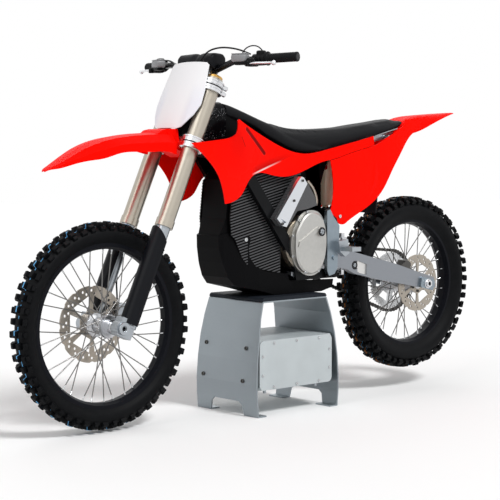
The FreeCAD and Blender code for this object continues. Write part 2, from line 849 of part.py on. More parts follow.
def rim(name, prefix):
    radius = size(prefix + "_rim_radius")
    half = size(prefix + "_rim_width") / 2
    inner = half - g.rim_wall
    outline = [
        (radius + g.rim_lip, half), (radius + g.rim_lip, inner), (radius, inner), (radius, -inner),
        (radius + g.rim_lip, -inner), (radius + g.rim_lip, -half), (radius - g.rim_wall, -half),
        (radius - g.rim_depth, -half * 0.45), (radius - g.rim_depth, half * 0.45),
        (radius - g.rim_wall, half),
    ]
    return revolved_body(name, outline)


def tyre_outline(prefix):
    """Corners of the plain tyre, bead to crown and back, as (radius, y)."""
    rim_radius = float(size(prefix + "_rim_radius"))
    crown = float(size(prefix + "_tyre_radius") - g.lug_height)
    half = float(size(prefix + "_tyre_width")) / 2
    bead = float(size(prefix + "_rim_width")) / 2 - float(g.rim_wall)
    lip = rim_radius + float(g.rim_lip)
    height = float(g.lug_height)
    side = [
        (rim_radius, bead), (lip + height * 0.3, bead), (crown - height * 1.6, half * 0.88),
        (crown - height * 0.25, half * 0.52),
    ]
    return side + [(radius, -y) for radius, y in reversed(side)]


def faceted_ring(outline, sides):
    """A closed outline of (radius, y) corners carried round the Y axis in flat steps."""
    stretch = 1 / math.cos(math.pi / sides)
    rings = []
    for i in range(sides):
        angle = 2 * math.pi * (i + 0.5) / sides
        out = Vector(math.cos(angle), 0, math.sin(angle)) * stretch
        rings.append([out * radius + Vector(0, y, 0) for radius, y in outline])
    faces = []
    for i in range(sides):
        here = rings[i]
        there = rings[(i + 1) % sides]
        for k in range(len(outline)):
            following = (k + 1) % len(outline)
            faces.append(polygon_face([here[k], there[k], there[following], here[following]]))
    solid = Part.Solid(Part.Shell(faces))
    if solid.Volume < 0:
        solid.reverse()
    return solid


def lug(inner, tops, near, far, turn, length):
    """A flat-topped tread block, leaning with the crown, turned to its place."""
    corners = [Vector(inner, near, 0), Vector(tops[0], near, 0), Vector(tops[1], far, 0), Vector(inner, far, 0)]
    block = polygon_face(corners).extrude(Vector(0, 0, length))
    block.translate(Vector(0, 0, -length / 2))
    block.rotate(Vector(), Vector(0, 1, 0), turn)
    return block


# Tread blocks of one pitch: near and far shares of the half-width, the two top drops as shares
# of the lug height below the tread radius, the turn and the length as shares of the pitch.
FRONT_LUG_SHARES = [
    (-0.26, 0.26, 0.0, 0.0, 0.00, 0.32),
    (0.74, 1.00, 0.60, 1.70, 0.00, 0.36), (-1.00, -0.74, 1.70, 0.60, 0.00, 0.36),
    (0.14, 0.50, 0.02, 0.22, 0.50, 0.32), (-0.50, -0.14, 0.22, 0.02, 0.50, 0.32),
]
REAR_LUG_SHARES = [
    (-0.34, 0.34, 0.0, 0.0, 0.00, 0.32),
    (0.74, 1.00, 0.45, 1.40, 0.00, 0.40), (-1.00, -0.74, 1.40, 0.45, 0.00, 0.40),
    (0.14, 0.50, 0.02, 0.20, 0.50, 0.34), (-0.50, -0.14, 0.20, 0.02, 0.50, 0.34),
]


def tyre(prefix, table, pitches):
    """A tyre's carcass, with two flat steps to each pitch of the tread, and its lugs."""
    radius = float(size(prefix + "_tyre_radius"))
    half = float(size(prefix + "_tyre_width")) / 2
    height = float(g.lug_height)
    pitch = 360.0 / pitches
    blocks = []
    for near, far, near_drop, far_drop, turn, length_share in table:
        length = radius * math.radians(length_share * pitch)
        drops = (near_drop * height, far_drop * height)
        tops = [math.sqrt((radius - drop) ** 2 - (length / 2) ** 2) for drop in drops]
        inner = min(tops) - height * 1.5
        for i in range(pitches):
            blocks.append(lug(inner, tops, near * half, far * half, (i + turn) * pitch, length))
    return faceted_ring(tyre_outline(prefix), 2 * pitches).multiFuse(blocks)


def hub(prefix, left_end, right_end, left_seat, right_seat, spokes):
    """A hub's barrel, flanges, seats for the disc or sprocket, and all its spokes."""
    bore = float(g.axle_radius + g.axle_clearance)
    barrel = float(g.hub_barrel_radius)
    flange = float(size(prefix + "_flange_radius"))
    spacing = float(size(prefix + "_flange_spacing")) / 2
    thick = float(g.flange_thickness)
    corners = [
        (bore, right_end), (barrel, right_end), (barrel, right_seat),
        (flange * 0.92, right_seat), (flange * 0.92, -spacing - thick), (flange, -spacing),
        (barrel * 1.08, -spacing + thick), (barrel * 1.08, spacing - thick),
        (flange, spacing), (flange * 0.92, spacing + thick), (flange * 0.92, left_seat),
        (barrel, left_seat), (barrel, left_end), (bore, left_end),
    ]
    if left_seat == left_end:
        corners[10:13] = [(barrel, spacing + thick), (barrel, left_end)]
    face = polygon_face([Vector(r, y, 0) for r, y in corners])
    shape = face.revolve(Vector(), Vector(0, 1, 0), 360)
    rim_inside = float(size(prefix + "_rim_radius") - g.rim_depth)
    foot_radius = flange * 0.9
    nipple_side = float(size(prefix + "_rim_width")) * 0.1
    bars = []
    for i in range(spokes):
        side = 1 if i % 2 else -1
        lean = float(g.spoke_sweep) * (1 if (i // 2) % 2 else -1)
        angle = math.radians(360.0 * i / spokes)
        foot = math.radians(360.0 * i / spokes + lean)
        start = Vector(foot_radius * math.cos(foot), side * spacing, foot_radius * math.sin(foot))
        end = Vector(rim_inside * math.cos(angle), side * nipple_side, rim_inside * math.sin(angle))
        bars.append(rod(start, end, float(g.spoke_diameter) / 2))
    return shape.multiFuse(bars)


def window_cutters(corner_shares, radius, depth, count):
    """Openings through a plate that is square to the Y axis, spread around it."""
    tools = []
    for i in range(count):
        outline = [Vector(a * radius, -depth, b * radius) for a, b in corner_shares]
        window = polygon_face(outline).extrude(Vector(0, 2 * depth, 0))
        window.rotate(Vector(), Vector(0, 1, 0), 360.0 * i / count)
        tools.append(window)
    return tools


# Openings of a disc, as shares of its radius: window corners, scallops at the edge, rows of holes.
DISC_WINDOW_SHARES = [(0.36, -0.16), (0.36, 0.16), (0.68, 0.30), (0.68, -0.30)]
DISC_WINDOWS = 6
DISC_SCALLOPS = 12
DISC_SCALLOP_SHARES = (1.10, 0.13)
DISC_HOLE_SHARES = [(0.88, 0.0, 0.036), (0.79, 0.09, 0.036)]
SPROCKET_WINDOW_SHARES = [(0.50, -0.15), (0.50, 0.15), (0.78, 0.26), (0.78, -0.26)]


def cut_ring(body, name, draw, depth, count):
    """Cuts what a function draws through a plate and repeats it around the plate's axis."""
    sketch = new_sketch(body, name + "_sketch", "XZ_Plane")
    draw(sketch)
    hole = pocket(body, sketch, name, depth)
    if count > 1:
        polar(body, hole, sketch, name + "_ring", count)


def disc(prefix, holes, centre):
    """A brake disc square to the Y axis, with a waved edge, windows and rows of holes."""
    label = prefix + "_disc"
    radius = size(label + "_radius")
    through = g.disc_thickness * 2
    body = new_body(label)
    outline = new_sketch(body, label + "_outline", "XZ_Plane")
    draw_circle(outline, ZERO, ZERO, radius)
    pad(body, outline, label + "_plate", g.disc_thickness)
    window = [(radius * a, radius * b) for a, b in DISC_WINDOW_SHARES]
    reach_share, bite_share = DISC_SCALLOP_SHARES
    cut_ring(body, label + "_bore", lambda s: draw_circle(s, ZERO, ZERO, g.hub_barrel_radius), through, 1)
    cut_ring(body, label + "_window", lambda s: draw_polygon(s, window), through, DISC_WINDOWS)
    cut_ring(body, label + "_scallop", lambda s: draw_circle(s, radius * reach_share, ZERO, radius * bite_share),
             through, DISC_SCALLOPS)
    for row, (out_share, side_share, hole_share) in enumerate(DISC_HOLE_SHARES):
        cut_ring(body, "%s_holes%d" % (label, row),
                 lambda s: draw_circle(s, radius * out_share, radius * side_share, radius * hole_share),
                 through, holes)
    body.Placement = Placement(centre, Rotation())
    return keep(body, label)


def sprocket(teeth, root, tip, bore, windows):
    """A toothed wheel square to the Y axis."""
    thick = float(g.sprocket_thickness)
    points = []
    for i in range(teeth):
        for step, radius in ((0.0, root), (0.28, root), (0.44, tip), (0.84, tip)):
            angle = 2 * math.pi * (i + step) / teeth
            points.append(Vector(radius * math.cos(angle), -thick / 2, radius * math.sin(angle)))
    plate = polygon_face(points).extrude(Vector(0, thick, 0))
    tools = [Part.makeCylinder(bore, 2 * thick, Vector(0, -thick, 0), Vector(0, 1, 0))]
    tools += window_cutters(SPROCKET_WINDOW_SHARES, root, thick, windows)
    return plate.cut(Part.makeCompound(tools))


def moved(shape, to):
    shape.translate(to)
    return shape


front_rim = keep(rim("front_rim", "front"), "front_rim")
front_rim.Placement = Placement(front_axle, Rotation())
rear_rim = keep(rim("rear_rim", "rear"), "rear_rim")
rear_rim.Placement = Placement(rear_axle, Rotation())
doc.recompute()

FRONT_PITCHES = 16
REAR_PITCHES = 14
feature("front_tyre", moved(tyre("front", FRONT_LUG_SHARES, FRONT_PITCHES), front_axle))
feature("rear_tyre", moved(tyre("rear", REAR_LUG_SHARES, REAR_PITCHES), rear_axle))

disc_half = float(g.disc_thickness) / 2
front_seat = -float(g.front_disc_offset) + disc_half
front_hub_left = float(g.front_hub_length) / 2
front_hub_right = front_seat - 2 * disc_half - float(g.hub_stub)
front_hub = moved(hub("front", front_hub_left, front_hub_right, front_hub_left, front_seat, 36), front_axle)
feature("front_hub", front_hub.cut(front_rim.Shape))
disc("front", 20, front_axle + Vector(0, -float(g.front_disc_offset), 0))

chain_y = -float(g.chain_offset)
sprocket_half = float(g.sprocket_thickness) / 2
rear_left_seat = float(g.rear_disc_offset) - disc_half
rear_hub_left = rear_left_seat + 2 * disc_half + float(g.hub_stub)
rear_right_seat = chain_y + sprocket_half
rear_hub_right = rear_right_seat - 2 * sprocket_half - float(g.hub_stub)
rear_hub = moved(hub("rear", rear_hub_left, rear_hub_right, rear_left_seat, rear_right_seat, 36), rear_axle)
feature("rear_hub", rear_hub.cut(rear_rim.Shape))
disc("rear", 16, rear_axle + Vector(0, float(g.rear_disc_offset), 0))

doc.recompute()

chain_pitch = float(g.chain_pitch)
rear_pitch_radius = chain_pitch / (2 * math.sin(math.pi / float(g.rear_teeth)))
drive_pitch_radius = chain_pitch / (2 * math.sin(math.pi / float(g.drive_teeth)))
plate_half = float(g.chain_plate_height) / 2
tooth_tip = rear_pitch_radius - plate_half - float(g.chain_clearance)
feature("rear_sprocket", moved(sprocket(
    int(float(g.rear_teeth)), tooth_tip - plate_half, tooth_tip, float(g.hub_barrel_radius), 6),
    rear_axle + Vector(0, chain_y, 0)))

# Axles, with a through bore and collars that reach the fork legs or the arms

def cylinder_between(name, radius, low, high, centre):
    """A cylinder along Y between two offsets from a centre."""
    obj = doc.addObject("Part::Cylinder", name)
    bind(obj, Radius=radius)
    obj.Height = float(high) - float(low)
    obj.Placement = Placement(centre + Vector(0, float(low), 0), ALONG_Y)
    return obj


def axle(name, centre, left_hub, right_hub, face):
    """A hollow axle whose collars fill the space from the hub's ends to the two faces."""
    reach = size(name + "_length")
    play = float(g.hub_play)
    solid = cylinder(name + "_rod", g.axle_radius, reach, centre)
    collar = cylinder_between(name + "_left", g.collar_radius, left_hub + play, face, centre)
    other = cylinder_between(name + "_right", g.collar_radius, -face, right_hub - play, centre)
    body = fuse(name + "_solid", [solid, collar, other])
    bore = cylinder(name + "_bore", g.axle_bore_radius, reach + g.overrun, centre)
    return keep(cut(name, body, bore), name)


leg_side = float(g.fork_spacing) / 2
lug_half = float(g.fork_lug_length) / 2
arm_inner = float(g.arm_inset)
arm_outer = arm_inner + float(g.arm_thickness)
axle("front_axle", front_axle, front_hub_left, front_hub_right, leg_side - lug_half)
axle("rear_axle", rear_axle, rear_hub_left, rear_hub_right, arm_inner)

# Fork: two clamps on a stem, outer tubes, inner legs, guards

tube_radius = float(g.fork_tube_radius)
leg_radius = float(g.fork_leg_radius)
clamp_half = float(g.clamp_thickness) / 2
clamp_ring = tube_radius + float(g.clamp_ring_wall)
clamp_offset = float(g.clamp_offset)
stem_radius = float(g.stem_radius)
overrun = float(g.overrun)
# Corners of a clamp's bridge, as shares of its ring radius ahead of the tubes and of the tube offset.
BRIDGE_SHARES = [(0.54, 1.0), (0.65, 0.0), (0.54, -1.0), (-0.80, -1.0), (-1.30, 0.0), (-0.80, 1.0)]


def clamp_plate(height):
    """One clamp: a ring around each tube, a bridge and a boss for the stem."""
    width = 2 * clamp_half
    solids = [Part.makeCylinder(clamp_ring, width, Vector(0, side, 0)) for side in (leg_side, -leg_side)]
    solids.append(Part.makeCylinder(2 * stem_radius, width, Vector(-clamp_offset, 0, 0)))
    bridge = [Vector(a * clamp_ring, b * leg_side, 0) for a, b in BRIDGE_SHARES]
    solids.append(polygon_face(bridge).extrude(Vector(0, 0, width)))
    shape = solids[0].multiFuse(solids[1:])
    for side in (leg_side, -leg_side):
        shape = shape.cut(Part.makeCylinder(tube_radius, width + 2 * overrun, Vector(0, side, -overrun)))
    shape.Placement = fork_placement(height - clamp_half)
    return shape


upper_height = float(g.upper_clamp_height)
lower_height = float(g.lower_clamp_height)
clamps = [clamp_plate(upper_height), clamp_plate(lower_height)]
stem_low = fork_point(lower_height - clamp_half - overrun, 0, -clamp_offset)
stem_high = fork_point(upper_height + clamp_half + overrun, 0, -clamp_offset)
clamps.append(rod(stem_low, stem_high, stem_radius))
bar_centre = Vector(float(front_axle_x) - float(g.bar_clamp_setback), 0, float(g.bar_height))
mount_length = float(g.bar_mount_length)
bar_middle_radius = float(g.bar_middle_radius)
for side in (float(g.bar_mount_spacing) / 2, -float(g.bar_mount_spacing) / 2):
    foot = fork_point(upper_height + clamp_half - overrun, side, -clamp_offset)
    top = Vector(bar_centre.x, side, bar_centre.z)
    clamps.append(rod(foot, top, float(g.bar_post_radius)))
    clamps.append(Part.makeCylinder(bar_middle_radius + float(g.bar_mount_wall), mount_length,
                                    top - Vector(0, mount_length / 2, 0), Vector(0, 1, 0)))
triple_clamps = clamps[0].multiFuse(clamps[1:])
triple_clamps = triple_clamps.cut(Part.makeCylinder(
    bar_middle_radius, float(g.bar_mount_spacing) + 2 * mount_length,
    bar_centre - Vector(0, float(g.bar_mount_spacing) / 2 + mount_length, 0), Vector(0, 1, 0)))

tubes = []
legs = []
guards = []
tube_start = float(g.fork_tube_start)
tube_end = float(g.fork_tube_end)
wiper = float(g.wiper_height)
insertion = float(g.fork_insertion)
lug_radius = float(g.fork_lug_radius)
guard_outer = float(g.guard_radius)
wheel_reach = float(g.front_disc_offset) + disc_half + float(g.wheel_clearance)
guard_inner = guard_outer - float(g.guard_wall)
guard_length = float(g.guard_end) - float(g.guard_start)
GUARD_BACK_SHARE = 0.2
for side in (leg_side, -leg_side):
    tube = rod(fork_point(tube_start, side), fork_point(tube_end, side), tube_radius)
    collar = rod(fork_point(tube_start, side), fork_point(tube_start + wiper, side), tube_radius + float(g.wiper_wall))
    cap = rod(fork_point(tube_end, side), fork_point(tube_end + float(g.cap_height), side), tube_radius * 0.62)
    bore = rod(fork_point(tube_start - overrun, side), fork_point(tube_start + insertion, side), leg_radius)
    tubes.append(tube.multiFuse([collar, cap]).cut(bore))
    leg = rod(fork_point(lug_radius * 0.5, side), fork_point(tube_start + insertion - overrun, side), leg_radius)
    lug_centre = front_axle + Vector(0, side, 0)
    across = Vector(0, lug_half, 0)
    eye = Part.makeCylinder(lug_radius, 2 * lug_half, lug_centre - across, Vector(0, 1, 0))
    web = Part.makeBox(float(g.axle_lead) + lug_radius, 2 * lug_half, lug_radius * 2.4,
                       Vector(-lug_radius * 0.4, -lug_half, -lug_radius))
    web.Placement = fork_placement(0, side).multiply(web.Placement)
    hole = Part.makeCylinder(float(g.axle_radius), 4 * lug_half, lug_centre - across * 2, Vector(0, 1, 0))
    legs.append(leg.multiFuse([eye, web]).cut(hole))
    shell = Part.makeCylinder(guard_outer, guard_length).cut(Part.makeCylinder(guard_inner, guard_length))
    inner_edge = wheel_reach - leg_side
    low = inner_edge if side > 0 else -guard_outer
    guard_back = -guard_outer * GUARD_BACK_SHARE
    slope = float(g.guard_slope)
    profile = [(guard_back, 0), (guard_outer, 0), (guard_outer, guard_length), (guard_back, guard_length - slope)]
    side_face = polygon_face([Vector(lead, low, height) for lead, height in profile])
    shell = shell.common(side_face.extrude(Vector(0, guard_outer - inner_edge, 0)))
    block = Part.makeBox(guard_inner, leg_radius, leg_radius, Vector(0, -leg_radius / 2, 2 * leg_radius))
    block = block.cut(Part.makeCylinder(leg_radius, guard_length))
    block = block.common(Part.makeCylinder(guard_outer - float(g.guard_wall) / 2, guard_length))
    shell = shell.fuse(block)
    shell.Placement = fork_placement(float(g.guard_start), side)
    guards.append(shell.cut(legs[-1]))
feature("triple_clamps", triple_clamps)
feature("fork_tubes", Part.makeCompound(tubes))
feature("fork_legs", Part.makeCompound(legs))
feature("fork_guards", Part.makeCompound(guards))

# Calipers, each with a slot that straddles its disc and a bracket to what carries it

caliper_width = float(g.caliper_width)
caliper_slot = float(g.disc_thickness) + 2 * float(g.caliper_clearance)


def caliper_block(length, depth):
    """Local X points away from the axle, local Z runs along the disc's edge."""
    half = Vector(depth / 2, caliper_width / 2, length / 2)
    block = Part.makeBox(depth, caliper_width, length, half * -1)
    edges = [e for e in block.Edges if abs(e.tangentAt(e.FirstParameter).y) > 0.9]
    block = block.makeChamfer(depth * 0.20, edges)
    gap = Part.makeBox(depth * 0.82, caliper_slot, length * 1.1,
                       Vector(-depth * 0.52, -caliper_slot / 2, -length * 0.55))
    return block.cut(gap)


def caliper_at(prefix, axle_point, reach_up, reach_out, forward, up, disc_side):
    """A caliper whose middle lies at two reaches from the axle, turned to face it."""
    offset = up * reach_up + forward * reach_out
    turn = math.degrees(math.atan2(-offset.z, offset.x))
    block = caliper_block(float(size(prefix + "_caliper_length")), float(size(prefix + "_caliper_depth")))
    block.Placement = Placement(axle_point + offset + Vector(0, disc_side, 0), Rotation(Vector(0, 1, 0), turn))
    return block


front_disc_radius = float(g.front_disc_radius)
# Corners of the front bracket as shares of the disc's radius, ahead of and above the axle.
FRONT_BRACKET_SHARES = [(-0.32, 0.30), (-0.50, 0.12), (-0.96, 0.16), (-0.98, 0.78), (-0.76, 0.86), (-0.32, 0.86)]
front_caliper = caliper_at("front", front_axle, front_disc_radius * 0.51, -front_disc_radius * 0.79,
                           FORK_FORWARD, FORK_UP, -float(g.front_disc_offset))
bracket_side = -(float(g.front_disc_offset) + caliper_width / 2)
corners = [front_axle + FORK_FORWARD * (a * front_disc_radius) + FORK_UP * (b * front_disc_radius)
           + Vector(0, bracket_side, 0) for a, b in FRONT_BRACKET_SHARES]
bracket = polygon_face(corners).extrude(Vector(0, -float(g.bracket_thickness), 0))
feature("front_caliper", front_caliper.fuse(bracket.cut(legs[1]).cut(guards[1])))

# Loft helpers for curved plastics

def closed_wire(outer, inner):
    """A closed section from an outside curve and an inside curve that run the same way."""
    return Part.Wire([
        spline(outer), Part.makeLine(outer[-1], inner[-1]),
        spline(list(reversed(inner))), Part.makeLine(inner[0], outer[0])])


def across(x, rows):
    """Points from the left edge over the top to the right edge."""
    return [Vector(x, y, z) for y, z in rows] + [Vector(x, -y, z) for y, z in reversed(rows[:-1])]


def cushion(stations, shoulder):
    """A rounded body from stations of back share, top share, low share and half-width share."""
    wires = []
    for behind, top, low, half in stations:
        at = side_point((behind, top))
        bottom = side_point((behind, low)).z
        width = half * float(g.body_half_width)
        rise = at.z - bottom
        rows = [
            (width * 0.94, bottom), (width, bottom + rise * 0.35), (width * shoulder, bottom + rise * 0.80),
            (width * shoulder * 0.5, bottom + rise * 0.97), (0, at.z),
        ]
        curve = across(at.x, rows)
        wires.append(Part.Wire([spline(curve), Part.makeLine(curve[-1], curve[0])]))
    return Part.makeLoft(wires, True, False)


def arched_shell(stations, thickness, flat):
    """A curved sheet from stations of back share, ridge share, edge share and half-width share."""
    wires = []
    for behind, ridge, edge, half in stations:
        at = side_point((behind, ridge))
        low = side_point((behind, edge)).z
        width = half * float(g.body_half_width)
        drop = at.z - low
        rows = [(width, low), (width * 0.94, low + drop * 0.42), (width * flat, at.z - drop * 0.10), (0, at.z)]
        inside = [(width - thickness, low), (width * 0.94 - thickness, low + drop * 0.42 - thickness * 0.6),
                  (width * flat, at.z - drop * 0.10 - thickness), (0, at.z - thickness)]
        wires.append(closed_wire(across(at.x, rows), across(at.x, inside)))
    return Part.makeLoft(wires, True, False)


def creased_shell(stations, thickness, rows):
    """A folded sheet: straight across between its creases, smooth along its length.

    Each row is a crease: its shares of the half-width and of the drop from ridge to edge.
    """
    wires = []
    for behind, ridge, edge, half in stations:
        at = side_point((behind, ridge))
        width = half * float(g.body_half_width)
        drop = at.z - side_point((behind, edge)).z
        outer = [(width * out, at.z - drop * down) for out, down in rows]
        inner = [(max(y - thickness, 0), z - (0 if i == 0 else thickness)) for i, (y, z) in enumerate(outer)]
        corners = across(at.x, outer) + list(reversed(across(at.x, inner)))
        wires.append(Part.makePolygon(corners + [corners[0]]))
    return Part.makeLoft(wires, True, False)


def envelope(thickness):
    """The bodywork's left sheet over its full length, before it is cut to panels."""
    wires = []
    for behind, halves in ENVELOPE_SHARES:
        outer = [side_point((behind, level), half * float(g.body_half_width))
                 for level, half in zip(ENVELOPE_LEVEL_SHARES, halves)]
        inner = [point - Vector(0, thickness, 0) for point in outer]
        wires.append(closed_wire(outer, inner))
    return Part.makeLoft(wires, True, False)


body_half = float(g.body_half_width)
sheet_left = envelope(float(g.panel_thickness))
shroud = sheet_left.common(curved_prism(SHROUD_SHARES, body_half * 0.3, body_half * 1.4))
side_panel = sheet_left.common(curved_prism(SIDE_PANEL_SHARES, body_half * 0.3, body_half * 1.4))
shrouds = both_sides(shroud)
side_panels = both_sides(side_panel)
feature("shrouds", shrouds)
feature("side_panels", side_panels)

# Battery, skid plate, frame and motor

battery_half = float(g.battery_width) / 2
rib_depth = float(g.rib_depth)
battery = side_prism(BATTERY_SHARES, -battery_half, battery_half)
rib_low = side_point(min(RIB_SHARES, key=lambda pair: pair[1])).z
rib_high = side_point(max(RIB_SHARES, key=lambda pair: pair[1])).z
rib_field = side_prism(RIB_SHARES, -battery_half - rib_depth, battery_half + rib_depth)
rib_pitch = float(g.rib_pitch)
rib_count = int((rib_high - rib_low) / rib_pitch)
rib_box = rib_field.BoundBox
slabs = []
for i in range(rib_count + 1):
    corner = Vector(rib_box.XMin, rib_box.YMin, rib_low + (i + 0.1) * rib_pitch)
    slabs.append(Part.makeBox(rib_box.XLength, rib_box.YLength, rib_pitch * 0.42, corner))
ribs = rib_field.common(Part.makeCompound(slabs))

skid_half = float(g.skid_width) / 2
skid_wall = float(g.skid_wall)
beam_inset = float(g.beam_inset)
beam_reach = beam_inset + float(g.beam_thickness)
skid = side_prism(SKID_SHARES, -skid_half, skid_half)


def nose_prism(inset):
    """The space inside the skid plate's plan outline, drawn in by an inset."""
    left = [side_point((behind, 0), share * skid_half - inset) for behind, share in SKID_NOSE_SHARES]
    right = [Vector(p.x, -p.y, p.z) for p in reversed(left)]
    return polygon_face(left + right).extrude(Vector(0, 0, float(g.seat_height)))


skid_hollow = side_prism(SKID_INSIDE_SHARES, -skid_half, skid_half).common(nose_prism(skid_wall))
skid = skid.common(nose_prism(0)).cut(skid_hollow)
battery_shape = battery.fuse(ribs).common(nose_prism(skid_wall)).cut(skid)
feature("battery_case", battery_shape)

MOTOR_RINGS = 4
motor_centre = side_point(MOTOR_CENTRE_SHARES)
motor_radius = float(g.motor_radius)
motor_left = beam_reach
motor_right = float(g.motor_right)


def motor_drum(radius, low, high):
    return Part.makeCylinder(radius, high - low, motor_centre + Vector(0, low, 0), Vector(0, 1, 0))


motor = motor_drum(motor_radius, -motor_right, motor_left)
ring_radius = motor_radius + float(g.motor_ring_height)
ring_width = float(g.motor_ring_width)
rings = [motor_drum(ring_radius, motor_left - (2 * i + 1.5) * ring_width, motor_left - (2 * i + 0.5) * ring_width)
         for i in range(MOTOR_RINGS)]
drive_centre = side_point(DRIVE_CENTRE_SHARES, chain_y)
shaft_radius = float(g.drive_shaft_radius)
gearbox = Part.makeCylinder(drive_pitch_radius, motor_right * 1.4, Vector(drive_centre.x, -motor_right, drive_centre.z), Vector(0, 1, 0))
shaft = Part.makeCylinder(shaft_radius, float(g.chain_offset) + 2 * sprocket_half - motor_right * 0.5,
                          Vector(drive_centre.x, -float(g.chain_offset) - 2 * sprocket_half, drive_centre.z), Vector(0, 1, 0))
cover_reach = float(g.motor_cover_reach)
flange_reach = motor_left + float(g.motor_flange_thickness)
flange_face = closed_spline_face([side_point(pair, motor_left) for pair in MOTOR_FLANGE_SHARES])
motor_flange = flange_face.extrude(Vector(0, flange_reach - motor_left, 0))
cover_face = closed_spline_face([side_point(pair, motor_left) for pair in MOTOR_COVER_SHARES])
motor_cover = cover_face.extrude(Vector(0, cover_reach - motor_left, 0))
outline_edges = [e for e in motor_cover.Edges if e.BoundBox.YMin > cover_reach - overrun]
motor_cover = motor_cover.makeChamfer(float(g.motor_cover_chamfer), outline_edges).fuse(motor_flange)
cap_centre = side_point(MOTOR_CAP_SHARES, cover_reach)
motor_cap = Part.makeCylinder(float(g.motor_cap_radius), float(g.motor_cap_height), cap_centre, Vector(0, 1, 0))
ridge_points = [side_point(pair, cover_reach) for pair in MOTOR_RIDGE_SHARES]
ridge = polygon_face(ridge_points).extrude(Vector(0, float(g.motor_ridge_height), 0))
feature("motor_cover", motor_cover.multiFuse([motor_cap, ridge]))

plate_inner = float(g.pivot_plate_inset)
plate_outer = plate_inner + float(g.pivot_plate_thickness)
pivot = side_point(PIVOT_SHARES)
pivot_radius = float(g.pivot_radius)
pin_radius = float(g.pivot_pin_radius)
backbone_half = float(g.backbone_width) / 2
head_low = lower_height + clamp_half + float(g.head_clearance)
head_high = upper_height - clamp_half - float(g.head_clearance)
head = rod(fork_point(head_low, 0, -clamp_offset), fork_point(head_high, 0, -clamp_offset), g.head_tube_radius)
backbone = side_prism(BACKBONE_SHARES, -backbone_half, backbone_half)
cross = side_prism(CROSS_SHARES, -beam_reach, beam_reach)
bridge = side_prism(PIVOT_BRIDGE_SHARES, -plate_inner, plate_inner)
beams = [side_prism(BEAM_SHARES, beam_inset, beam_reach), side_prism(BEAM_SHARES, -beam_reach, -beam_inset)]
foot_spacers = [side_prism(BEAM_FOOT_SHARES, beam_reach, plate_inner),
                side_prism(BEAM_FOOT_SHARES, -plate_inner, -beam_reach)]
frame = head.multiFuse([backbone, cross, bridge] + beams + foot_spacers)
boss_at = side_point(SHROUD_BOSS_SHARES)
boss_reach = reach_to(sheet_left, boss_at)
for side in (1, -1):
    start = Vector(boss_at.x, side * (beam_reach - overrun), boss_at.z)
    frame = frame.fuse(rod(start, Vector(boss_at.x, side * boss_reach, boss_at.z), g.boss_radius))
frame = frame.cut(shrouds).cut(side_panels)
head_bore = rod(fork_point(head_low - overrun, 0, -clamp_offset), fork_point(head_high + overrun, 0, -clamp_offset),
                stem_radius + float(g.stem_clearance))
frame = frame.cut(head_bore)
frame = frame.cut(motor_cover).cut(battery_shape).cut(skid)
motor = motor.multiFuse([gearbox, shaft] + rings).cut(frame).cut(motor_cover).cut(battery_shape)
feature("motor_housing", motor)
feature("main_frame", frame)
feature("skid_plate", skid.cut(motor))

plates = []
for low in (plate_inner, -plate_outer):
    plate = side_prism(PIVOT_PLATE_SHARES, low, low + plate_outer - plate_inner)
    plates.append(plate)
pivot_pin = Part.makeCylinder(pin_radius, 2 * plate_outer + 2 * overrun,
                              pivot - Vector(0, plate_outer + overrun, 0), Vector(0, 1, 0))
plate_shape = plates[0].multiFuse([plates[1], pivot_pin])
feature("pivot_plates", plate_shape.cut(motor_cover))

inverter = side_prism(INVERTER_SHARES, beam_reach, float(g.inverter_reach))
inverter_bar = side_prism(INVERTER_BAR_SHARES, beam_reach, float(g.inverter_bar_reach))
bar_reach = float(g.inverter_bar_reach)
recess = side_prism(INVERTER_RECESS_SHARES, bar_reach - float(g.inverter_recess_depth), bar_reach + overrun)
inverter_core = side_prism(INVERTER_CORE_SHARES, battery_half + rib_depth, beam_reach)
inverter = inverter.multiFuse([inverter_bar, inverter_core]).cut(recess)
feature("inverter_case", inverter.cut(frame).cut(motor_cover).cut(motor))

# Swingarm, its axle blocks, the shock and the footpegs

arm_way = rear_axle - pivot
arm_rise = Vector(arm_way.z, 0, -arm_way.x)


def arm_point(shares, y=0.0):
    """A point of the swingarm by its shares along the way from pivot to axle and above it."""
    along, above = shares
    return pivot + arm_way * along + arm_rise * above + Vector(0, float(y), 0)


def arm_prism(shares, inner, outer):
    """An outline of the swingarm stretched from one distance off the centre plane to another."""
    face = polygon_face([arm_point(pair, inner) for pair in shares])
    return face.extrude(Vector(0, float(outer) - float(inner), 0))


arm_pieces = [arm_prism(SWINGARM_SHARES, arm_inner, arm_outer), arm_prism(SWINGARM_SHARES, -arm_outer, -arm_inner)]
arm_bridge = arm_prism(ARM_BRIDGE_SHARES, -arm_inner, arm_inner)
pivot_tube = Part.makeCylinder(pivot_radius, 2 * arm_outer, pivot - Vector(0, arm_outer, 0), Vector(0, 1, 0))
swingarm = arm_pieces[0].multiFuse([arm_pieces[1], arm_bridge, pivot_tube])
rear_hole = Part.makeCylinder(float(g.axle_radius), 4 * arm_outer, rear_axle - Vector(0, 2 * arm_outer, 0), Vector(0, 1, 0))
pin_hole = Part.makeCylinder(pin_radius, 4 * arm_outer, pivot - Vector(0, 2 * arm_outer, 0), Vector(0, 1, 0))
swingarm = swingarm.cut(rear_hole).cut(pin_hole)
pocket_depth = float(g.arm_pocket_depth)
cap_at = arm_point(ARM_CAP_SHARES)
for low, high in ((arm_outer - pocket_depth, arm_outer + overrun), (-arm_outer - overrun, pocket_depth - arm_outer)):
    swingarm = swingarm.cut(arm_prism(ARM_POCKET_SHARES, low, high))
    swingarm = swingarm.cut(Part.makeCylinder(float(g.arm_cap_radius), high - low, cap_at + Vector(0, low, 0),
                                              Vector(0, 1, 0)))
feature("swingarm", swingarm)

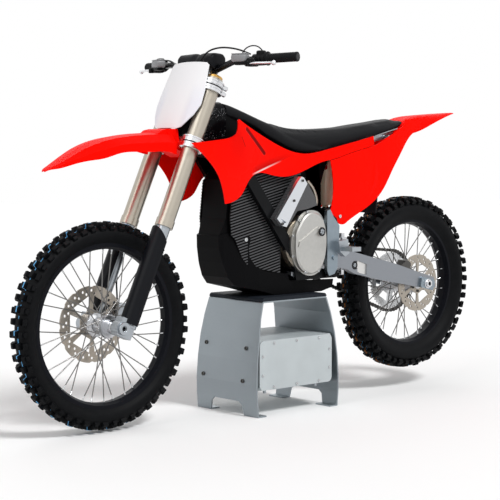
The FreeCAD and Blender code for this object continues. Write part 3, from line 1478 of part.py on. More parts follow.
block_half = float(g.axle_block_length) / 2
block_height = float(g.axle_block_height)
block_depth = float(g.axle_block_thickness)
blocks = []
arm_turn = Rotation(Vector(1, 0, 0), arm_way * -1)
for low in (arm_outer, -arm_outer - block_depth):
    block = Part.makeBox(2 * block_half, block_depth, block_height, Vector(-block_half, low, -block_height / 2))
    upright = [e for e in block.Edges if abs(e.tangentAt(e.FirstParameter).y) > 0.9]
    block = block.makeChamfer(block_height * 0.15, upright)
    block.Placement = Placement(rear_axle, arm_turn)
    blocks.append(block.cut(rear_hole))
feature("axle_blocks", Part.makeCompound(blocks))

rear_disc_radius = float(g.rear_disc_radius)
REAR_BRACKET_SHARES = [(0.14, 0.16), (0.34, -0.04), (0.92, 0.22), (1.06, 0.60), (0.86, 0.76), (0.30, 0.42)]
rear_caliper = caliper_at("rear", rear_axle, rear_disc_radius * 0.54, rear_disc_radius * 0.80,
                          Vector(1, 0, 0), Vector(0, 0, 1), float(g.rear_disc_offset))
rear_bracket_side = arm_inner
corners = [rear_axle + Vector(a * rear_disc_radius, rear_bracket_side, b * rear_disc_radius)
           for a, b in REAR_BRACKET_SHARES]
rear_bracket = polygon_face(corners).extrude(Vector(0, -float(g.bracket_thickness), 0))
feature("rear_caliper", rear_caliper.fuse(rear_bracket).cut(swingarm))

shock_top = side_point(SHOCK_TOP_SHARES)
shock_foot = arm_point(SHOCK_FOOT_SHARES)
shock_way = (shock_foot - shock_top).normalize()
shock_length = (shock_foot - shock_top).Length
shock_radius = float(g.shock_radius)


def shock_rod(start_share, end_share, radius):
    return rod(shock_top + shock_way * (start_share * shock_length), shock_top + shock_way * (end_share * shock_length), radius)


eye_half = shock_radius * 0.9
top_eye = Part.makeCylinder(shock_radius * 0.8, 2 * eye_half, shock_top - Vector(0, eye_half, 0), Vector(0, 1, 0))
foot_eye = Part.makeCylinder(shock_radius * 0.7, 2 * eye_half, shock_foot - Vector(0, eye_half, 0), Vector(0, 1, 0))
SPRING_START_SHARE = 0.48
SPRING_END_SHARE = 0.90
seat_share = 0.03
shock = top_eye.multiFuse([
    foot_eye, shock_rod(seat_share, SPRING_START_SHARE, shock_radius), shock_rod(0.44, 0.99, shock_radius * 0.4),
    shock_rod(SPRING_START_SHARE - seat_share, SPRING_START_SHARE, float(g.spring_radius)),
    shock_rod(SPRING_END_SHARE, SPRING_END_SHARE + seat_share, float(g.spring_radius)),
])
feature("shock_absorber", shock.cut(frame).cut(swingarm))

SPRING_TURNS = 5
TURN_STEPS = 14
WIRE_SIDES = 8
wire_radius = float(g.spring_wire_radius)
coil_radius = float(g.spring_radius) - wire_radius
spring_height = (SPRING_END_SHARE - SPRING_START_SHARE) * shock_length - 2 * wire_radius
spring_steps = SPRING_TURNS * TURN_STEPS
sections = []
for i in range(spring_steps + 1):
    turn = 2 * math.pi * i / TURN_STEPS
    out = Vector(math.cos(turn), math.sin(turn), 0)
    middle = out * coil_radius + Vector(0, 0, spring_height * i / spring_steps)
    corners = []
    for k in range(WIRE_SIDES):
        around = 2 * math.pi * k / WIRE_SIDES
        corners.append(middle + (out * math.cos(around) + Vector(0, 0, math.sin(around))) * wire_radius)
    sections.append(Part.makePolygon(corners + [corners[0]]))
spring = Part.makeLoft(sections, True, True)
spring_start = shock_top + shock_way * (SPRING_START_SHARE * shock_length + wire_radius)
spring.Placement = Placement(spring_start, Rotation(Vector(0, 0, 1), shock_way))
feature("shock_spring", spring)

peg_inner = plate_outer
peg_length = float(g.footpeg_length)
peg_width = float(g.footpeg_width)
peg_height = float(g.footpeg_height)
peg_at = side_point(FOOTPEG_SHARES)
pegs = []
for side in (1, -1):
    mount = side_prism(PEG_MOUNT_SHARES, min(side * peg_inner, side * (peg_inner + peg_width * 0.5)),
                       max(side * peg_inner, side * (peg_inner + peg_width * 0.5)))
    low = side * peg_inner if side > 0 else -(peg_inner + peg_length)
    tread = Part.makeBox(peg_width, peg_length, peg_height, peg_at + Vector(-peg_width / 2, low, -peg_height / 2))
    window = Part.makeBox(peg_width * 0.55, peg_length * 0.55, peg_height * 2,
                          peg_at + Vector(-peg_width * 0.28, low + peg_length * (0.35 if side > 0 else 0.10), -peg_height))
    pegs.append(tread.cut(window).fuse(mount))
feature("footpegs", Part.makeCompound(pegs).cut(pivot_pin))

# Chain loop with its drive sprocket and guide

drive_tip = drive_pitch_radius * math.cos(math.pi / float(g.drive_teeth)) - plate_half - float(g.contact_gap)
feature("drive_sprocket", moved(sprocket(
    int(float(g.drive_teeth)), drive_tip - plate_half * 0.6, drive_tip, shaft_radius, 0), drive_centre))

rear_centre = rear_axle + Vector(0, chain_y, 0)
line = rear_centre - drive_centre
distance = line.Length
heading = math.atan2(line.z, line.x)
spread = math.acos((rear_pitch_radius - drive_pitch_radius) / distance)


def chain_points():
    """Evenly spaced joints around both sprockets, and the loop's true pitch."""
    straight = math.sqrt(distance ** 2 - (rear_pitch_radius - drive_pitch_radius) ** 2)
    rear_arc = 2 * (math.pi - spread)
    drive_arc = 2 * spread
    total = 2 * straight + rear_arc * rear_pitch_radius + drive_arc * drive_pitch_radius
    count = 2 * round(total / chain_pitch / 2)
    step = total / count
    first = heading + spread
    points = []
    for i in range(count):
        s = i * step
        if s < rear_arc * rear_pitch_radius:
            angle = heading - (math.pi - spread) + s / rear_pitch_radius
            points.append(rear_centre + Vector(math.cos(angle), 0, math.sin(angle)) * rear_pitch_radius)
            continue
        s -= rear_arc * rear_pitch_radius
        turn = heading + math.pi - spread
        side = Vector(math.cos(turn), 0, math.sin(turn))
        along = (line * -1).normalize()
        if s < straight:
            start = rear_centre + side * rear_pitch_radius
            end = drive_centre + side * drive_pitch_radius
            points.append(start + (end - start) * (s / straight))
            continue
        s -= straight
        if s < drive_arc * drive_pitch_radius:
            angle = turn + s / drive_pitch_radius
            points.append(drive_centre + Vector(math.cos(angle), 0, math.sin(angle)) * drive_pitch_radius)
            continue
        s -= drive_arc * drive_pitch_radius
        turn = heading - (math.pi - spread)
        side = Vector(math.cos(turn), 0, math.sin(turn))
        start = drive_centre + side * drive_pitch_radius
        end = rear_centre + side * rear_pitch_radius
        points.append(start + (end - start) * (s / straight))
    return points


def beside_joint(joints, i, distance):
    """The corner that a loop parallel to the chain's pitch line has at one joint."""
    before = (joints[i] - joints[i - 1]).normalize()
    after = (joints[(i + 1) % len(joints)] - joints[i]).normalize()
    middle = (before + after).normalize()
    normal = Vector(middle.z, 0, -middle.x)
    return joints[i] + normal * (distance / before.dot(middle))


joints = chain_points()
inner_half = float(g.chain_inner_width) / 2 + float(g.chain_plate_thickness)
outer_half = inner_half + float(g.chain_plate_thickness)
loops = []
for distance in (plate_half, -plate_half):
    corners = [beside_joint(joints, i, distance) - Vector(0, inner_half, 0) for i in range(len(joints))]
    loops.append(Part.Face(Part.makePolygon(corners + [corners[0]])))
loops.sort(key=lambda face: face.Area)
band = loops[1].cut(loops[0]).extrude(Vector(0, 2 * inner_half, 0))
plates = []
for i in range(0, len(joints), 2):
    way = joints[i + 1] - joints[i]
    turn = Rotation(Vector(1, 0, 0), way)
    for low, high in ((-outer_half, -inner_half), (inner_half, outer_half)):
        box = Part.makeBox(way.Length, high - low, 2 * plate_half, Vector(0, low, -plate_half))
        box.Placement = Placement(joints[i], turn).multiply(box.Placement)
        plates.append(box)
feature("drive_chain", band.multiFuse(plates).removeSplitter())

guide_side = arm_prism(CHAIN_GUIDE_SHARES, -arm_inner - float(g.guide_thickness), -arm_inner)
guide_floor = arm_prism(GUIDE_FLOOR_SHARES, -arm_inner, chain_y + inner_half)
feature("chain_guide", guide_side.fuse(guide_floor).cut(swingarm))

# Bodywork behind the seat and under it

rail_half = float(g.subframe_thickness)
rail_inset = float(g.subframe_inset)
rails = [side_prism(SUBFRAME_SHARES, rail_inset, rail_inset + rail_half),
         side_prism(SUBFRAME_SHARES, -rail_inset - rail_half, -rail_inset)]
rail_cross = side_prism(SUBFRAME_CROSS_SHARES, -rail_inset, rail_inset)
front_cross = side_prism(SUBFRAME_FRONT_SHARES, -rail_inset, rail_inset)
boss_radius = float(g.boss_radius)
bosses = []
for pair in PANEL_BOSS_SHARES:
    place = side_point(pair)
    reach = reach_to(sheet_left, place)
    for side in (1, -1):
        bosses.append(rod(Vector(place.x, side * rail_inset, place.z), Vector(place.x, side * reach, place.z), boss_radius))
subframe = rails[0].multiFuse([rails[1], rail_cross, front_cross] + bosses).cut(frame)
subframe = subframe.cut(shrouds).cut(side_panels)
feature("subframe", subframe)
feature("seat", cushion(SEAT_SHARES, 0.86).cut(subframe).cut(side_panels))
fender_thickness = float(g.fender_thickness)
rear_fender = arched_shell(REAR_FENDER_SHARES, fender_thickness, 0.70)
feature("rear_fender", rear_fender.cut(subframe).cut(side_panels).cut(finished("seat")))
flap_half = float(g.mud_flap_width) / 2
tyre_room = Part.makeCylinder(float(g.rear_tyre_radius + g.tyre_clearance), 2 * flap_half,
                              rear_axle - Vector(0, flap_half, 0), Vector(0, 1, 0))
feature("mud_flap", side_prism(MUD_FLAP_SHARES, -flap_half, flap_half).cut(subframe).cut(tyre_room))
tank_cover = cushion(TANK_COVER_SHARES, 0.86)
feature("tank_cover", tank_cover.cut(frame))

# Parts that turn with the fork: fender, plate, handlebar and its fittings

front_fender = creased_shell(FRONT_FENDER_SHARES, fender_thickness, FENDER_CREASE_SHARES)
block_half = (leg_side - clamp_ring) * 0.86
fender_block = side_prism(FENDER_BLOCK_SHARES, -block_half, block_half)
tongue_half = (leg_side - clamp_ring) * 0.92
tongue = side_prism(TONGUE_SHARES, -tongue_half, tongue_half)
front_fender = front_fender.multiFuse([tongue, fender_block]).cut(triple_clamps)
feature("front_fender", front_fender.cut(finished("fork_tubes")))

plate_bend = float(g.number_plate_bend)
plate_lead = float(g.number_plate_lead)
plate_wall = float(g.plate_thickness)
plate_axis = fork_placement(float(g.number_plate_low), 0, plate_lead - plate_bend)
plate_height = float(g.number_plate_height)
sheet_tube = Part.makeCylinder(plate_bend, plate_height).cut(Part.makeCylinder(plate_bend - plate_wall, plate_height))
plate_half_width = float(g.number_plate_width) / 2
plate_outline = [Vector(0, a * plate_half_width, b * plate_height) for a, b in NUMBER_PLATE_SHARES]
plate_tool = polygon_face(plate_outline).extrude(Vector(plate_bend * 2, 0, 0))
number_plate = sheet_tube.common(plate_tool)
number_plate.Placement = plate_axis
spacers = []
spacer_reach = clamp_ring * 0.50
for side in (leg_side * 0.45, -leg_side * 0.45):
    spacers.append(rod(fork_point(upper_height, side, spacer_reach),
                       fork_point(upper_height, side, plate_lead - plate_wall * 1.6), g.spacer_radius))
feature("number_plate", number_plate.multiFuse(spacers).cut(triple_clamps))

bar_half = float(g.bar_width) / 2
bar_radius = float(g.bar_radius)
rise = float(g.bar_rise)
sweep = float(g.bar_sweep)
route = []
for side_share, rise_share, sweep_share in BAR_SHARES:
    route.append(bar_centre + Vector(-sweep * sweep_share, bar_half * side_share, rise * rise_share))
path = smooth_path(route, [float(g.bar_bend_radius)] * (len(route) - 2))
handlebar = tube_along(path, bar_radius)
middle = Part.makeCylinder(bar_middle_radius, float(g.bar_middle_length),
                           bar_centre - Vector(0, float(g.bar_middle_length) / 2, 0), Vector(0, 1, 0))
handlebar = handlebar.fuse(middle)
feature("handlebar", handlebar)

pad_half = float(g.bar_pad_length) / 2
pad_outline = [bar_centre + Vector(a * float(g.bar_pad_depth), -pad_half, b * float(g.bar_pad_height))
               for a, b in BAR_PAD_SHARES]
bar_pad = polygon_face(pad_outline).extrude(Vector(0, 2 * pad_half, 0))
feature("bar_pad", bar_pad.cut(triple_clamps).cut(handlebar))

grip_radius = float(g.grip_radius)
grip_length = float(g.grip_length)
flange = float(g.grip_flange_thickness)
end_run = (route[-1] - route[-2]).normalize()
grips = []
controls = []
perch_radius = float(g.perch_radius)
reservoir_width = float(g.reservoir_box_width)
for side in (1, -1):
    direction = Vector(end_run.x, end_run.y * side, end_run.z)
    tip = Vector(route[-1].x, route[-1].y * side, route[-1].z)
    grip = rod(tip - direction * grip_length, tip, grip_radius)
    ring = rod(tip - direction * grip_length, tip - direction * (grip_length - flange), g.grip_flange_radius)
    grips.append(grip.fuse(ring).cut(handlebar))
    perch_at = tip - direction * (grip_length + flange + perch_radius)
    perch = rod(perch_at - direction * perch_radius, perch_at + direction * perch_radius, bar_radius + float(g.perch_wall))
    pivot_at = perch_at + Vector(float(g.lever_lead), 0, -bar_radius)
    arm = Part.makeCylinder(perch_radius * 0.6, perch_radius, pivot_at - Vector(0, 0, perch_radius / 2))
    link = rod(perch_at, pivot_at, perch_radius * 0.5)
    lever_end = tip + Vector(float(g.lever_lead) * 0.95, 0, -bar_radius)
    lever = rod(pivot_at, lever_end, float(g.lever_radius))
    ball = Part.makeSphere(float(g.lever_radius) * 1.7, lever_end)
    box_corner = Vector(bar_radius * 0.4, -reservoir_width / 2 - side * perch_radius * 0.7, bar_radius * 0.2)
    reservoir = Part.makeBox(float(g.reservoir_box_length), reservoir_width, float(g.reservoir_box_height),
                             perch_at + box_corner)
    pieces = [arm, link, lever, ball, reservoir]
    controls.append(perch.multiFuse(pieces).cut(handlebar))
feature("grips", Part.makeCompound(grips))
feature("hand_controls", Part.makeCompound(controls))

# Brake hoses. Each route is chosen by hand: height along the fork, side offset, lead.
FRONT_HOSE_ROUTE = [
    (1008, -241, 0), (1008, -203, 2), (996, -163, 8), (978, -125, 20), (950, -92, 35), (912, -68, 41),
    (868, -72, 42), (828, -93, 38), (796, -119, 28), (766, -132, 8), (736, -133, -16), (702, -129, -31),
    (650, -126, -33), (590, -125, -31), (525, -124, -29), (460, -124, -29), (395, -124, -31), (335, -124, -32),
    (280, -122, -32), (225, -117, -33), (175, -106, -38), (135, -89, -46), (102, -72, -47),
]
REAR_HOSE_ROUTE = [
    (1008, 241, 0), (1020, 202, 8), (1026, 158, 20), (1022, 115, 38), (1003, 75, 52), (964, 44, 47),
    (915, 24, 43), (845, 16, 38), (770, 13, 30), (697, 12, 17),
]


def hose(route, radius):
    """A hose whose bends are as wide as the runs beside them allow."""
    points = [fork_point(height, side, lead) for height, side, lead in route]
    radii = []
    for i in range(1, len(points) - 1):
        before = points[i - 1] - points[i]
        after = points[i + 1] - points[i]
        half = before.getAngle(after) / 2
        radii.append(0.45 * min(before.Length, after.Length) * math.tan(half))
    return tube_along(smooth_path(points, radii), radius)


feature("front_brake_hose", hose(FRONT_HOSE_ROUTE, g.hose_radius).cut(finished("hand_controls", "front_caliper")))
feature("rear_brake_hose", hose(REAR_HOSE_ROUTE, g.hose_radius).cut(finished("hand_controls", "triple_clamps")))

# Stand with its charger box

PAD_ROUND_SHARE = 0.9
pad_thickness = float(g.stand_pad_thickness)
stand_height = side_point((0, BELLY_SHARE)).z - pad_thickness
stand_sheet = float(g.stand_sheet)
stand_flange = float(g.stand_flange)
stand_bend = float(g.stand_bend)
stand_centre = side_point(STAND_CENTRE_SHARES)
top_half = float(g.stand_top_length) / 2
foot_half = float(g.stand_foot_length) / 2
top_side = float(g.stand_top_width) / 2
foot_side = float(g.stand_foot_width) / 2


def bent(shape, places, radius):
    """Rounds the edges along Y that pass through places in the side view."""
    edges = []
    for edge in shape.Edges:
        box = edge.BoundBox
        for x, z in places:
            if box.YLength > stand_flange and abs(box.Center.x - x) < 1 and abs(box.Center.z - z) < 1:
                edges.append(edge)
    return shape.makeFillet(radius, edges)


def stand_wall(face_sign):
    """One bowed end wall, with flanges that turn inward at the top and at the two feet."""
    profile = []
    for lean, up in STAND_BOW_SHARES:
        reach = top_half + (foot_half - top_half) * lean
        profile.append(Vector(face_sign * reach, 0, up * stand_height))
    inner = [point - Vector(face_sign * stand_sheet, 0, 0) for point in profile]
    flange_low = [Vector(face_sign * (foot_half - stand_flange), 0, stand_sheet), Vector(face_sign * (foot_half - stand_flange), 0, 0)]
    flange_top = [Vector(face_sign * (top_half - stand_flange), 0, stand_height),
                  Vector(face_sign * (top_half - stand_flange), 0, stand_height - stand_sheet)]
    inner[0] = inner[0] + Vector(0, 0, stand_sheet)
    inner[-1] = inner[-1] - Vector(0, 0, stand_sheet)
    corners = [flange_low[1]] + profile + flange_top + list(reversed(inner)) + [flange_low[0]]
    wall = polygon_face([p + Vector(0, -foot_side, 0) for p in corners]).extrude(Vector(0, 2 * foot_side, 0))
    outline = [Vector(0, a * foot_side, b * stand_height) for a, b in STAND_WALL_SHARES]
    outline += [Vector(0, -a * foot_side, b * stand_height) for a, b in reversed(STAND_WALL_SHARES[1:-1])]
    front = polygon_face([p + Vector(-2 * foot_half, 0, 0) for p in outline]).extrude(Vector(4 * foot_half, 0, 0))
    wall = bent(wall, [(face_sign * top_half, stand_height)], stand_bend)
    inner_corner = (face_sign * (top_half - stand_sheet), stand_height - stand_sheet)
    wall = bent(wall, [inner_corner], stand_bend - stand_sheet).common(front)
    wall.translate(stand_centre)
    return wall


walls = [stand_wall(1), stand_wall(-1)]
deck_half = top_half - stand_flange
deck = Part.makeBox(2 * deck_half, 2 * top_side, stand_sheet,
                    stand_centre + Vector(-deck_half, -top_side, stand_height - stand_sheet))
feature("stand_plates", walls[0].multiFuse([walls[1], deck]))
pad_top = stand_height + pad_thickness
stand_pad = Part.makeBox(2 * top_half, 2 * top_side, pad_thickness, Vector(-top_half, -top_side, stand_height))
stand_pad = bent(stand_pad, [(top_half, pad_top), (-top_half, pad_top)], pad_thickness * PAD_ROUND_SHARE)
stand_pad.translate(stand_centre)
feature("stand_top", stand_pad.cut(skid))
box_length = float(g.charger_length)
box_width = float(g.charger_width)
box_height = float(g.charger_height)
box_low = float(g.charger_clearance)
charger = Part.makeBox(box_length, box_width, box_height,
                       stand_centre + Vector(-box_length / 2, -box_width / 2, box_low))
for face_sign in (1, -1):
    for side in (-0.35, 0.35):
        for up in (0.2, 0.8):
            start = stand_centre + Vector(face_sign * (box_length / 2 - stand_sheet), side * box_width, box_low + up * box_height)
            end = start + Vector(face_sign * (foot_half * 1.1 - box_length / 2 + stand_sheet), 0, 0)
            charger = charger.fuse(rod(start, end, g.spacer_radius))
charger = charger.cut(walls[0]).cut(walls[1])
charger = max(charger.Solids, key=lambda solid: solid.Volume)
feature("charger_box", charger)
corner_radius = float(g.charger_corner)
cover_thickness = float(g.charger_cover_thickness)
cover = Part.makeBox(box_length, cover_thickness, box_height,
                     stand_centre + Vector(-box_length / 2, box_width / 2, box_low))
upright = [e for e in cover.Edges if abs(e.tangentAt(e.FirstParameter).y) > 0.9]
feature("charger_cover", cover.makeFillet(corner_radius, upright))

# Build, check and write out

doc.recompute()
for obj in doc.Objects:
    if "Invalid" in obj.State or "Error" in obj.State:
        raise RuntimeError("%s did not build" % obj.Label)
os.makedirs("parts", exist_ok=True)
for obj in FINISHED:
    shape = obj.Shape
    if shape.isNull() or not shape.isValid():
        raise RuntimeError("%s has no sound solid" % obj.Label)
    shape.exportStep(os.path.join("parts", obj.Label + ".step"))
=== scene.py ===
# %% [markdown]
# # An electric dirt bike on its paddock stand
#
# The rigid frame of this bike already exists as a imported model: every tube, wheel and panel has its
# real size and place there. This script dresses it. It keeps the nodes whose shape is right and gives
# them a finish, models finer pieces over the plain ones, and lights and frames the result.

import json
import math

import bpy
from mathutils import Matrix, Vector


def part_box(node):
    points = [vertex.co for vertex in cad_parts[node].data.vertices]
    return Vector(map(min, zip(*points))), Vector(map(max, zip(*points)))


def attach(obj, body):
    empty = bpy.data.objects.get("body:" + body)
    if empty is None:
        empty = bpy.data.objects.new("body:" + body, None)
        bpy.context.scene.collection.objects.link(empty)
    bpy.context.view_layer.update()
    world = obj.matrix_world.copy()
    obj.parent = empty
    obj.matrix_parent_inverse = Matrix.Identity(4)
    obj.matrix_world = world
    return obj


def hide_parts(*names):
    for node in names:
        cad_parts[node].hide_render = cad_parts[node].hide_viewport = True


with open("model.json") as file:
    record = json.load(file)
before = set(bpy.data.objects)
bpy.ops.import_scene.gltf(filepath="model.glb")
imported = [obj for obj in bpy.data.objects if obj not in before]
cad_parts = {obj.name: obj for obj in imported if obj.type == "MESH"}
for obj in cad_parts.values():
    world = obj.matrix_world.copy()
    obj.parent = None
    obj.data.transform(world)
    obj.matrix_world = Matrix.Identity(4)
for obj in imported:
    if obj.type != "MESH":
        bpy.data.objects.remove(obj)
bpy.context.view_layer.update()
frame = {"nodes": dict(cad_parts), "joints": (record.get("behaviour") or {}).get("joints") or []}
nodes = frame["nodes"]
print("nodes in the frame:", len(nodes))

# %% [markdown]
# ## Where things are
#
# The two axles and the steering axis are the landmarks that most pieces are placed by. They are read
# from the frame, so that a piece stays where its carrier is. X points forward, Y to the rider's left
# and Z up, all in metres.

# %% Landmarks
LEFT = Vector((0, 1, 0))
UP = Vector((0, 0, 1))
AHEAD = Vector((1, 0, 0))
FORK_OFFSET = 0.032
SEAT_HEIGHT = 1.015


def middle(node):
    """The centre of a node's box at rest."""
    low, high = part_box(node)
    return (Vector(low) + Vector(high)) / 2


front_axle = middle("front_rim")
rear_axle = middle("rear_rim")
wheelbase = front_axle.x - rear_axle.x
steering = next(joint for joint in frame["joints"] if joint["name"] == "steering")
fork_up = Vector(steering["axis"]).normalized()
fork_forward = Vector((fork_up.z, 0, -fork_up.x))
print("front axle", front_axle, "rear axle", rear_axle)


def fork_point(height, side=0.0, lead=0.0):
    """A point by its height along the fork, its side offset and its lead, as the frame is laid out."""
    foot = front_axle - fork_forward * FORK_OFFSET
    return foot + fork_up * height + fork_forward * lead + LEFT * side


def side_point(back, height, side=0.0):
    """A point by its shares: back from the front axle in wheelbases, and up in seat heights."""
    return Vector((front_axle.x - back * wheelbase, side, height * SEAT_HEIGHT))


# %% [markdown]
# ## The camera
#
# The photograph was taken from ahead and to the left, a little below the seat's height, with a long
# lens. A long lens keeps the two wheels nearly the same size.

# %% Camera
PHOTO_PIXELS = 500
FOCAL_PIXELS = 1453.66
SENSOR_MILLIMETRES = 36
FARTHEST_SEEN = 100
camera_place = Vector((3.5688, 3.9150, 0.9192))
camera_heading = math.radians(48.29)
camera_dip = math.radians(3.71)

bpy.ops.object.camera_add(location=camera_place)
camera = bpy.context.object
camera.name = "camera"
look = Vector((-math.cos(camera_heading) * math.cos(camera_dip),
               -math.sin(camera_heading) * math.cos(camera_dip), -math.sin(camera_dip)))
camera.rotation_euler = look.to_track_quat("-Z", "Y").to_euler()
camera.data.sensor_width = SENSOR_MILLIMETRES
camera.data.lens = FOCAL_PIXELS / PHOTO_PIXELS * SENSOR_MILLIMETRES
camera.data.clip_end = FARTHEST_SEEN
bpy.context.scene.camera = camera
bpy.context.scene.view_settings.view_transform = "Standard"
print("lens", camera.data.lens, "mm")

# %% [markdown]
# ## Sockets that do arithmetic
#
# A material is a net of nodes. Wiring it by hand takes many lines, so a small class wraps a socket and
# lets plain Python expressions add the Math nodes. Anything else comes from one method, node().

# %% Shader helpers


def operator(operation, swapped=False):
    """A method that adds one Math node, with its values swapped for a reflected form."""

    def method(self, *others):
        values = (*others, self) if swapped else (self, *others)
        return self.finish.node("ShaderNodeMath", {"operation": operation}, dict(enumerate(values)))

    return method


class Wire:
    """An output socket that can be used in arithmetic."""

    __add__ = __radd__ = operator("ADD")
    __mul__ = __rmul__ = operator("MULTIPLY")
    __sub__ = operator("SUBTRACT")
    __rsub__ = operator("SUBTRACT", swapped=True)
    __truediv__ = operator("DIVIDE")
    __gt__ = operator("GREATER_THAN")
    __lt__ = operator("LESS_THAN")
    power = operator("POWER")
    sine = operator("SINE")
    absolute = operator("ABSOLUTE")
    modulo = operator("FLOORED_MODULO")
    arctan2 = operator("ARCTAN2")
    larger = operator("MAXIMUM")

    def __init__(self, finish, socket):
        self.finish = finish
        self.socket = socket

    def between(self, low, high):
        """Runs from 0 at low to 1 at high, and stays there."""
        return self.finish.node("ShaderNodeMapRange", {"clamp": True},
                                {"Value": self, "From Min": low, "From Max": high})

    def patches(self):
        """Noise made into clear patches: 0 in its valleys and 1 on its hills."""
        return self.between(0.35, 0.7)


class Finish:
    """A material with its node tree, filled in by expressions."""

    def __init__(self, name, **shader):
        self.material = bpy.data.materials.new(name)
        self.material.use_nodes = True
        self.tree = self.material.node_tree
        self.shader = self.tree.nodes["Principled BSDF"]
        for socket, value in shader.items():
            self.set(socket.replace("_", " "), value)

    def set(self, socket, value):
        """Gives one socket of the main shader a value or a wire."""
        self._feed(self.shader.inputs[socket], value)

    def _feed(self, socket, value):
        if isinstance(value, Wire):
            self.tree.links.new(value.socket, socket)
        elif socket.type == "RGBA" and len(value) == 3:
            socket.default_value = (*value, 1)
        else:
            socket.default_value = value

    def node(self, kind, settings=None, inputs=None, out=0):
        """Adds any node: its settings first, then the values or wires of its inputs."""
        made = self.tree.nodes.new(kind)
        for name, value in (settings or {}).items():
            setattr(made, name, value)
        for key, value in (inputs or {}).items():
            self._feed(made.inputs[key], value)
        return Wire(self, made.outputs[out])

    def place(self):
        """The surface point, in the object's own coordinates."""
        return self.node("ShaderNodeTexCoord", out="Object")

    def mapped(self, scale=(1, 1, 1), turn=(0, 0, 0)):
        """The surface point, stretched and turned."""
        return self.node("ShaderNodeMapping", None, {
            "Vector": self.place(), "Scale": scale, "Rotation": turn})

    def parts(self, vector):
        """The three numbers of a vector."""
        split = self.tree.nodes.new("ShaderNodeSeparateXYZ")
        self._feed(split.inputs[0], vector)
        return [Wire(self, output) for output in split.outputs]

    def noise(self, vector, scale, detail=3.0):
        """A cloudy pattern with so many swings to a metre."""
        return self.node("ShaderNodeTexNoise", None, {
            "Vector": vector, "Scale": scale, "Detail": detail}, out="Fac")

    def mix(self, factor, first, second):
        """A colour between two colours."""
        return self.node("ShaderNodeMix", {"data_type": "RGBA"}, {0: factor, 6: first, 7: second}, out=2)

    def bump(self, height, strength, distance):
        """Shades a height as relief, a distance in metres deep at 1."""
        normal = self.node("ShaderNodeBump", None, {
            "Strength": strength, "Distance": distance, "Height": height}, out="Normal")
        self.set("Normal", normal)


# %% [markdown]
# ## Painted and moulded plastics
#
# The bodywork is moulded in red and left glossy. A real moulding is never a mirror: it has a very faint
# ripple, and fine dust takes the shine off here and there. The ripple is a bump of a few hundredths of a
# millimetre, and the dust is a slow change of roughness.

# %% Plastic finishes
RIPPLE = 0.02
SHINE_SPREAD = 0.08


def plastic(name, colour, roughness, grain=0.0, shine=0.5, fade=0.9):
    """Moulded plastic: a slow ripple, an optional fine grain, and a shine that varies a little."""
    made = Finish(name, Specular_IOR_Level=shine)
    place = made.place()
    slow = made.noise(place, 9.0)
    fine = made.noise(place, 900.0, detail=2.0)
    made.set("Base Color", made.mix(slow.patches(), colour, [c * fade for c in colour]))
    made.set("Roughness", slow * SHINE_SPREAD + fine * SHINE_SPREAD * 0.5 + (roughness - SHINE_SPREAD * 0.75))
    made.bump(made.noise(place, 26.0) * RIPPLE + fine * grain, 0.5, 0.001)
    return made


red_plastic = plastic("red gloss plastic", (1.0, 0.003, 0.0004), 0.42, shine=0.025, fade=0.97)
guard_plastic = plastic("black guard plastic", (0.0045, 0.005, 0.007), 0.36, shine=0.12)
case_plastic = plastic("black case plastic", (0.0022, 0.0022, 0.0027), 0.45, grain=0.05, shine=0.05)
grip_rubber = plastic("grip rubber", (0.003, 0.0035, 0.0045), 0.55, grain=0.12, shine=0.12)
matt_black = plastic("matt black paint", (0.003, 0.0033, 0.004), 0.42, grain=0.06, shine=0.12)
hose_rubber = plastic("hose rubber", (0.006, 0.006, 0.007), 0.45, grain=0.05, shine=0.2)
grey_plastic = plastic("grey switch plastic", (0.26, 0.265, 0.275), 0.4, shine=0.4)

# %% [markdown]
# ## Metals
#
# Cast aluminium is slightly mottled, machined aluminium is clean, and sheet aluminium is brushed in one
# direction, so its highlights are drawn out across the brushing. The champagne of the fork tubes is an
# anodised layer over polished metal.

# %% Metal finishes


def metal(name, colour, roughness, mottle=0.06, scale=60.0, grain=0.03):
    """Cast or machined metal with a mottled shine."""
    made = Finish(name, Metallic=1.0)
    place = made.place()
    cloud = made.noise(place, scale)
    speck = made.noise(place, 1400.0, detail=2.0)
    made.set("Base Color", made.mix(cloud.patches() * 0.25, colour, [c * 0.78 for c in colour]))
    made.set("Roughness", cloud * mottle * 2 + (roughness - mottle))
    made.bump(cloud * 0.3 + speck * grain * 10, 0.25, 0.0004)
    return made


def brushed(name, colour, roughness, stretch):
    """Sheet metal brushed along one axis: noise squeezed across that axis."""
    made = Finish(name, Metallic=1.0)
    lines = made.noise(made.mapped(scale=stretch), 900.0, detail=4.0)
    cloud = made.noise(made.place(), 12.0)
    made.set("Base Color", made.mix(lines * 0.3, colour, [c * 0.82 for c in colour]))
    made.set("Roughness", lines * 0.12 + cloud * 0.12 + (roughness - 0.12))
    made.bump(lines, 0.18, 0.0002)
    return made


champagne = metal("champagne anodised", (0.46, 0.42, 0.355), 0.33, mottle=0.03)
# The shock's champagne is far paler than the fork tubes', as painted light where the panels shade it.
sunlit_shock_champagne = plastic("champagne coating brightened as painted light", (0.88, 0.76, 0.56), 0.30, shine=0.6)
cast_silver = metal("cast silver", (0.62, 0.63, 0.65), 0.42, grain=0.06)
milled_silver = metal("milled silver", (0.72, 0.73, 0.75), 0.26, mottle=0.04)
satin_silver = metal("satin silver", (0.40, 0.43, 0.46), 0.34)
pivot_silver = metal("pivot plate silver", (0.27, 0.32, 0.36), 0.34)
steel = metal("bright steel", (0.60, 0.61, 0.62), 0.22, mottle=0.04)
disc_steel = metal("disc steel", (0.40, 0.36, 0.31), 0.34, mottle=0.06)
dark_steel = metal("dark steel", (0.10, 0.097, 0.092), 0.38, mottle=0.08)
gold_anodised = metal("gold anodised", (0.62, 0.36, 0.10), 0.28, mottle=0.03)
black_anodised = plastic("black anodised", (0.004, 0.0045, 0.006), 0.28, shine=0.3, grain=0.03)
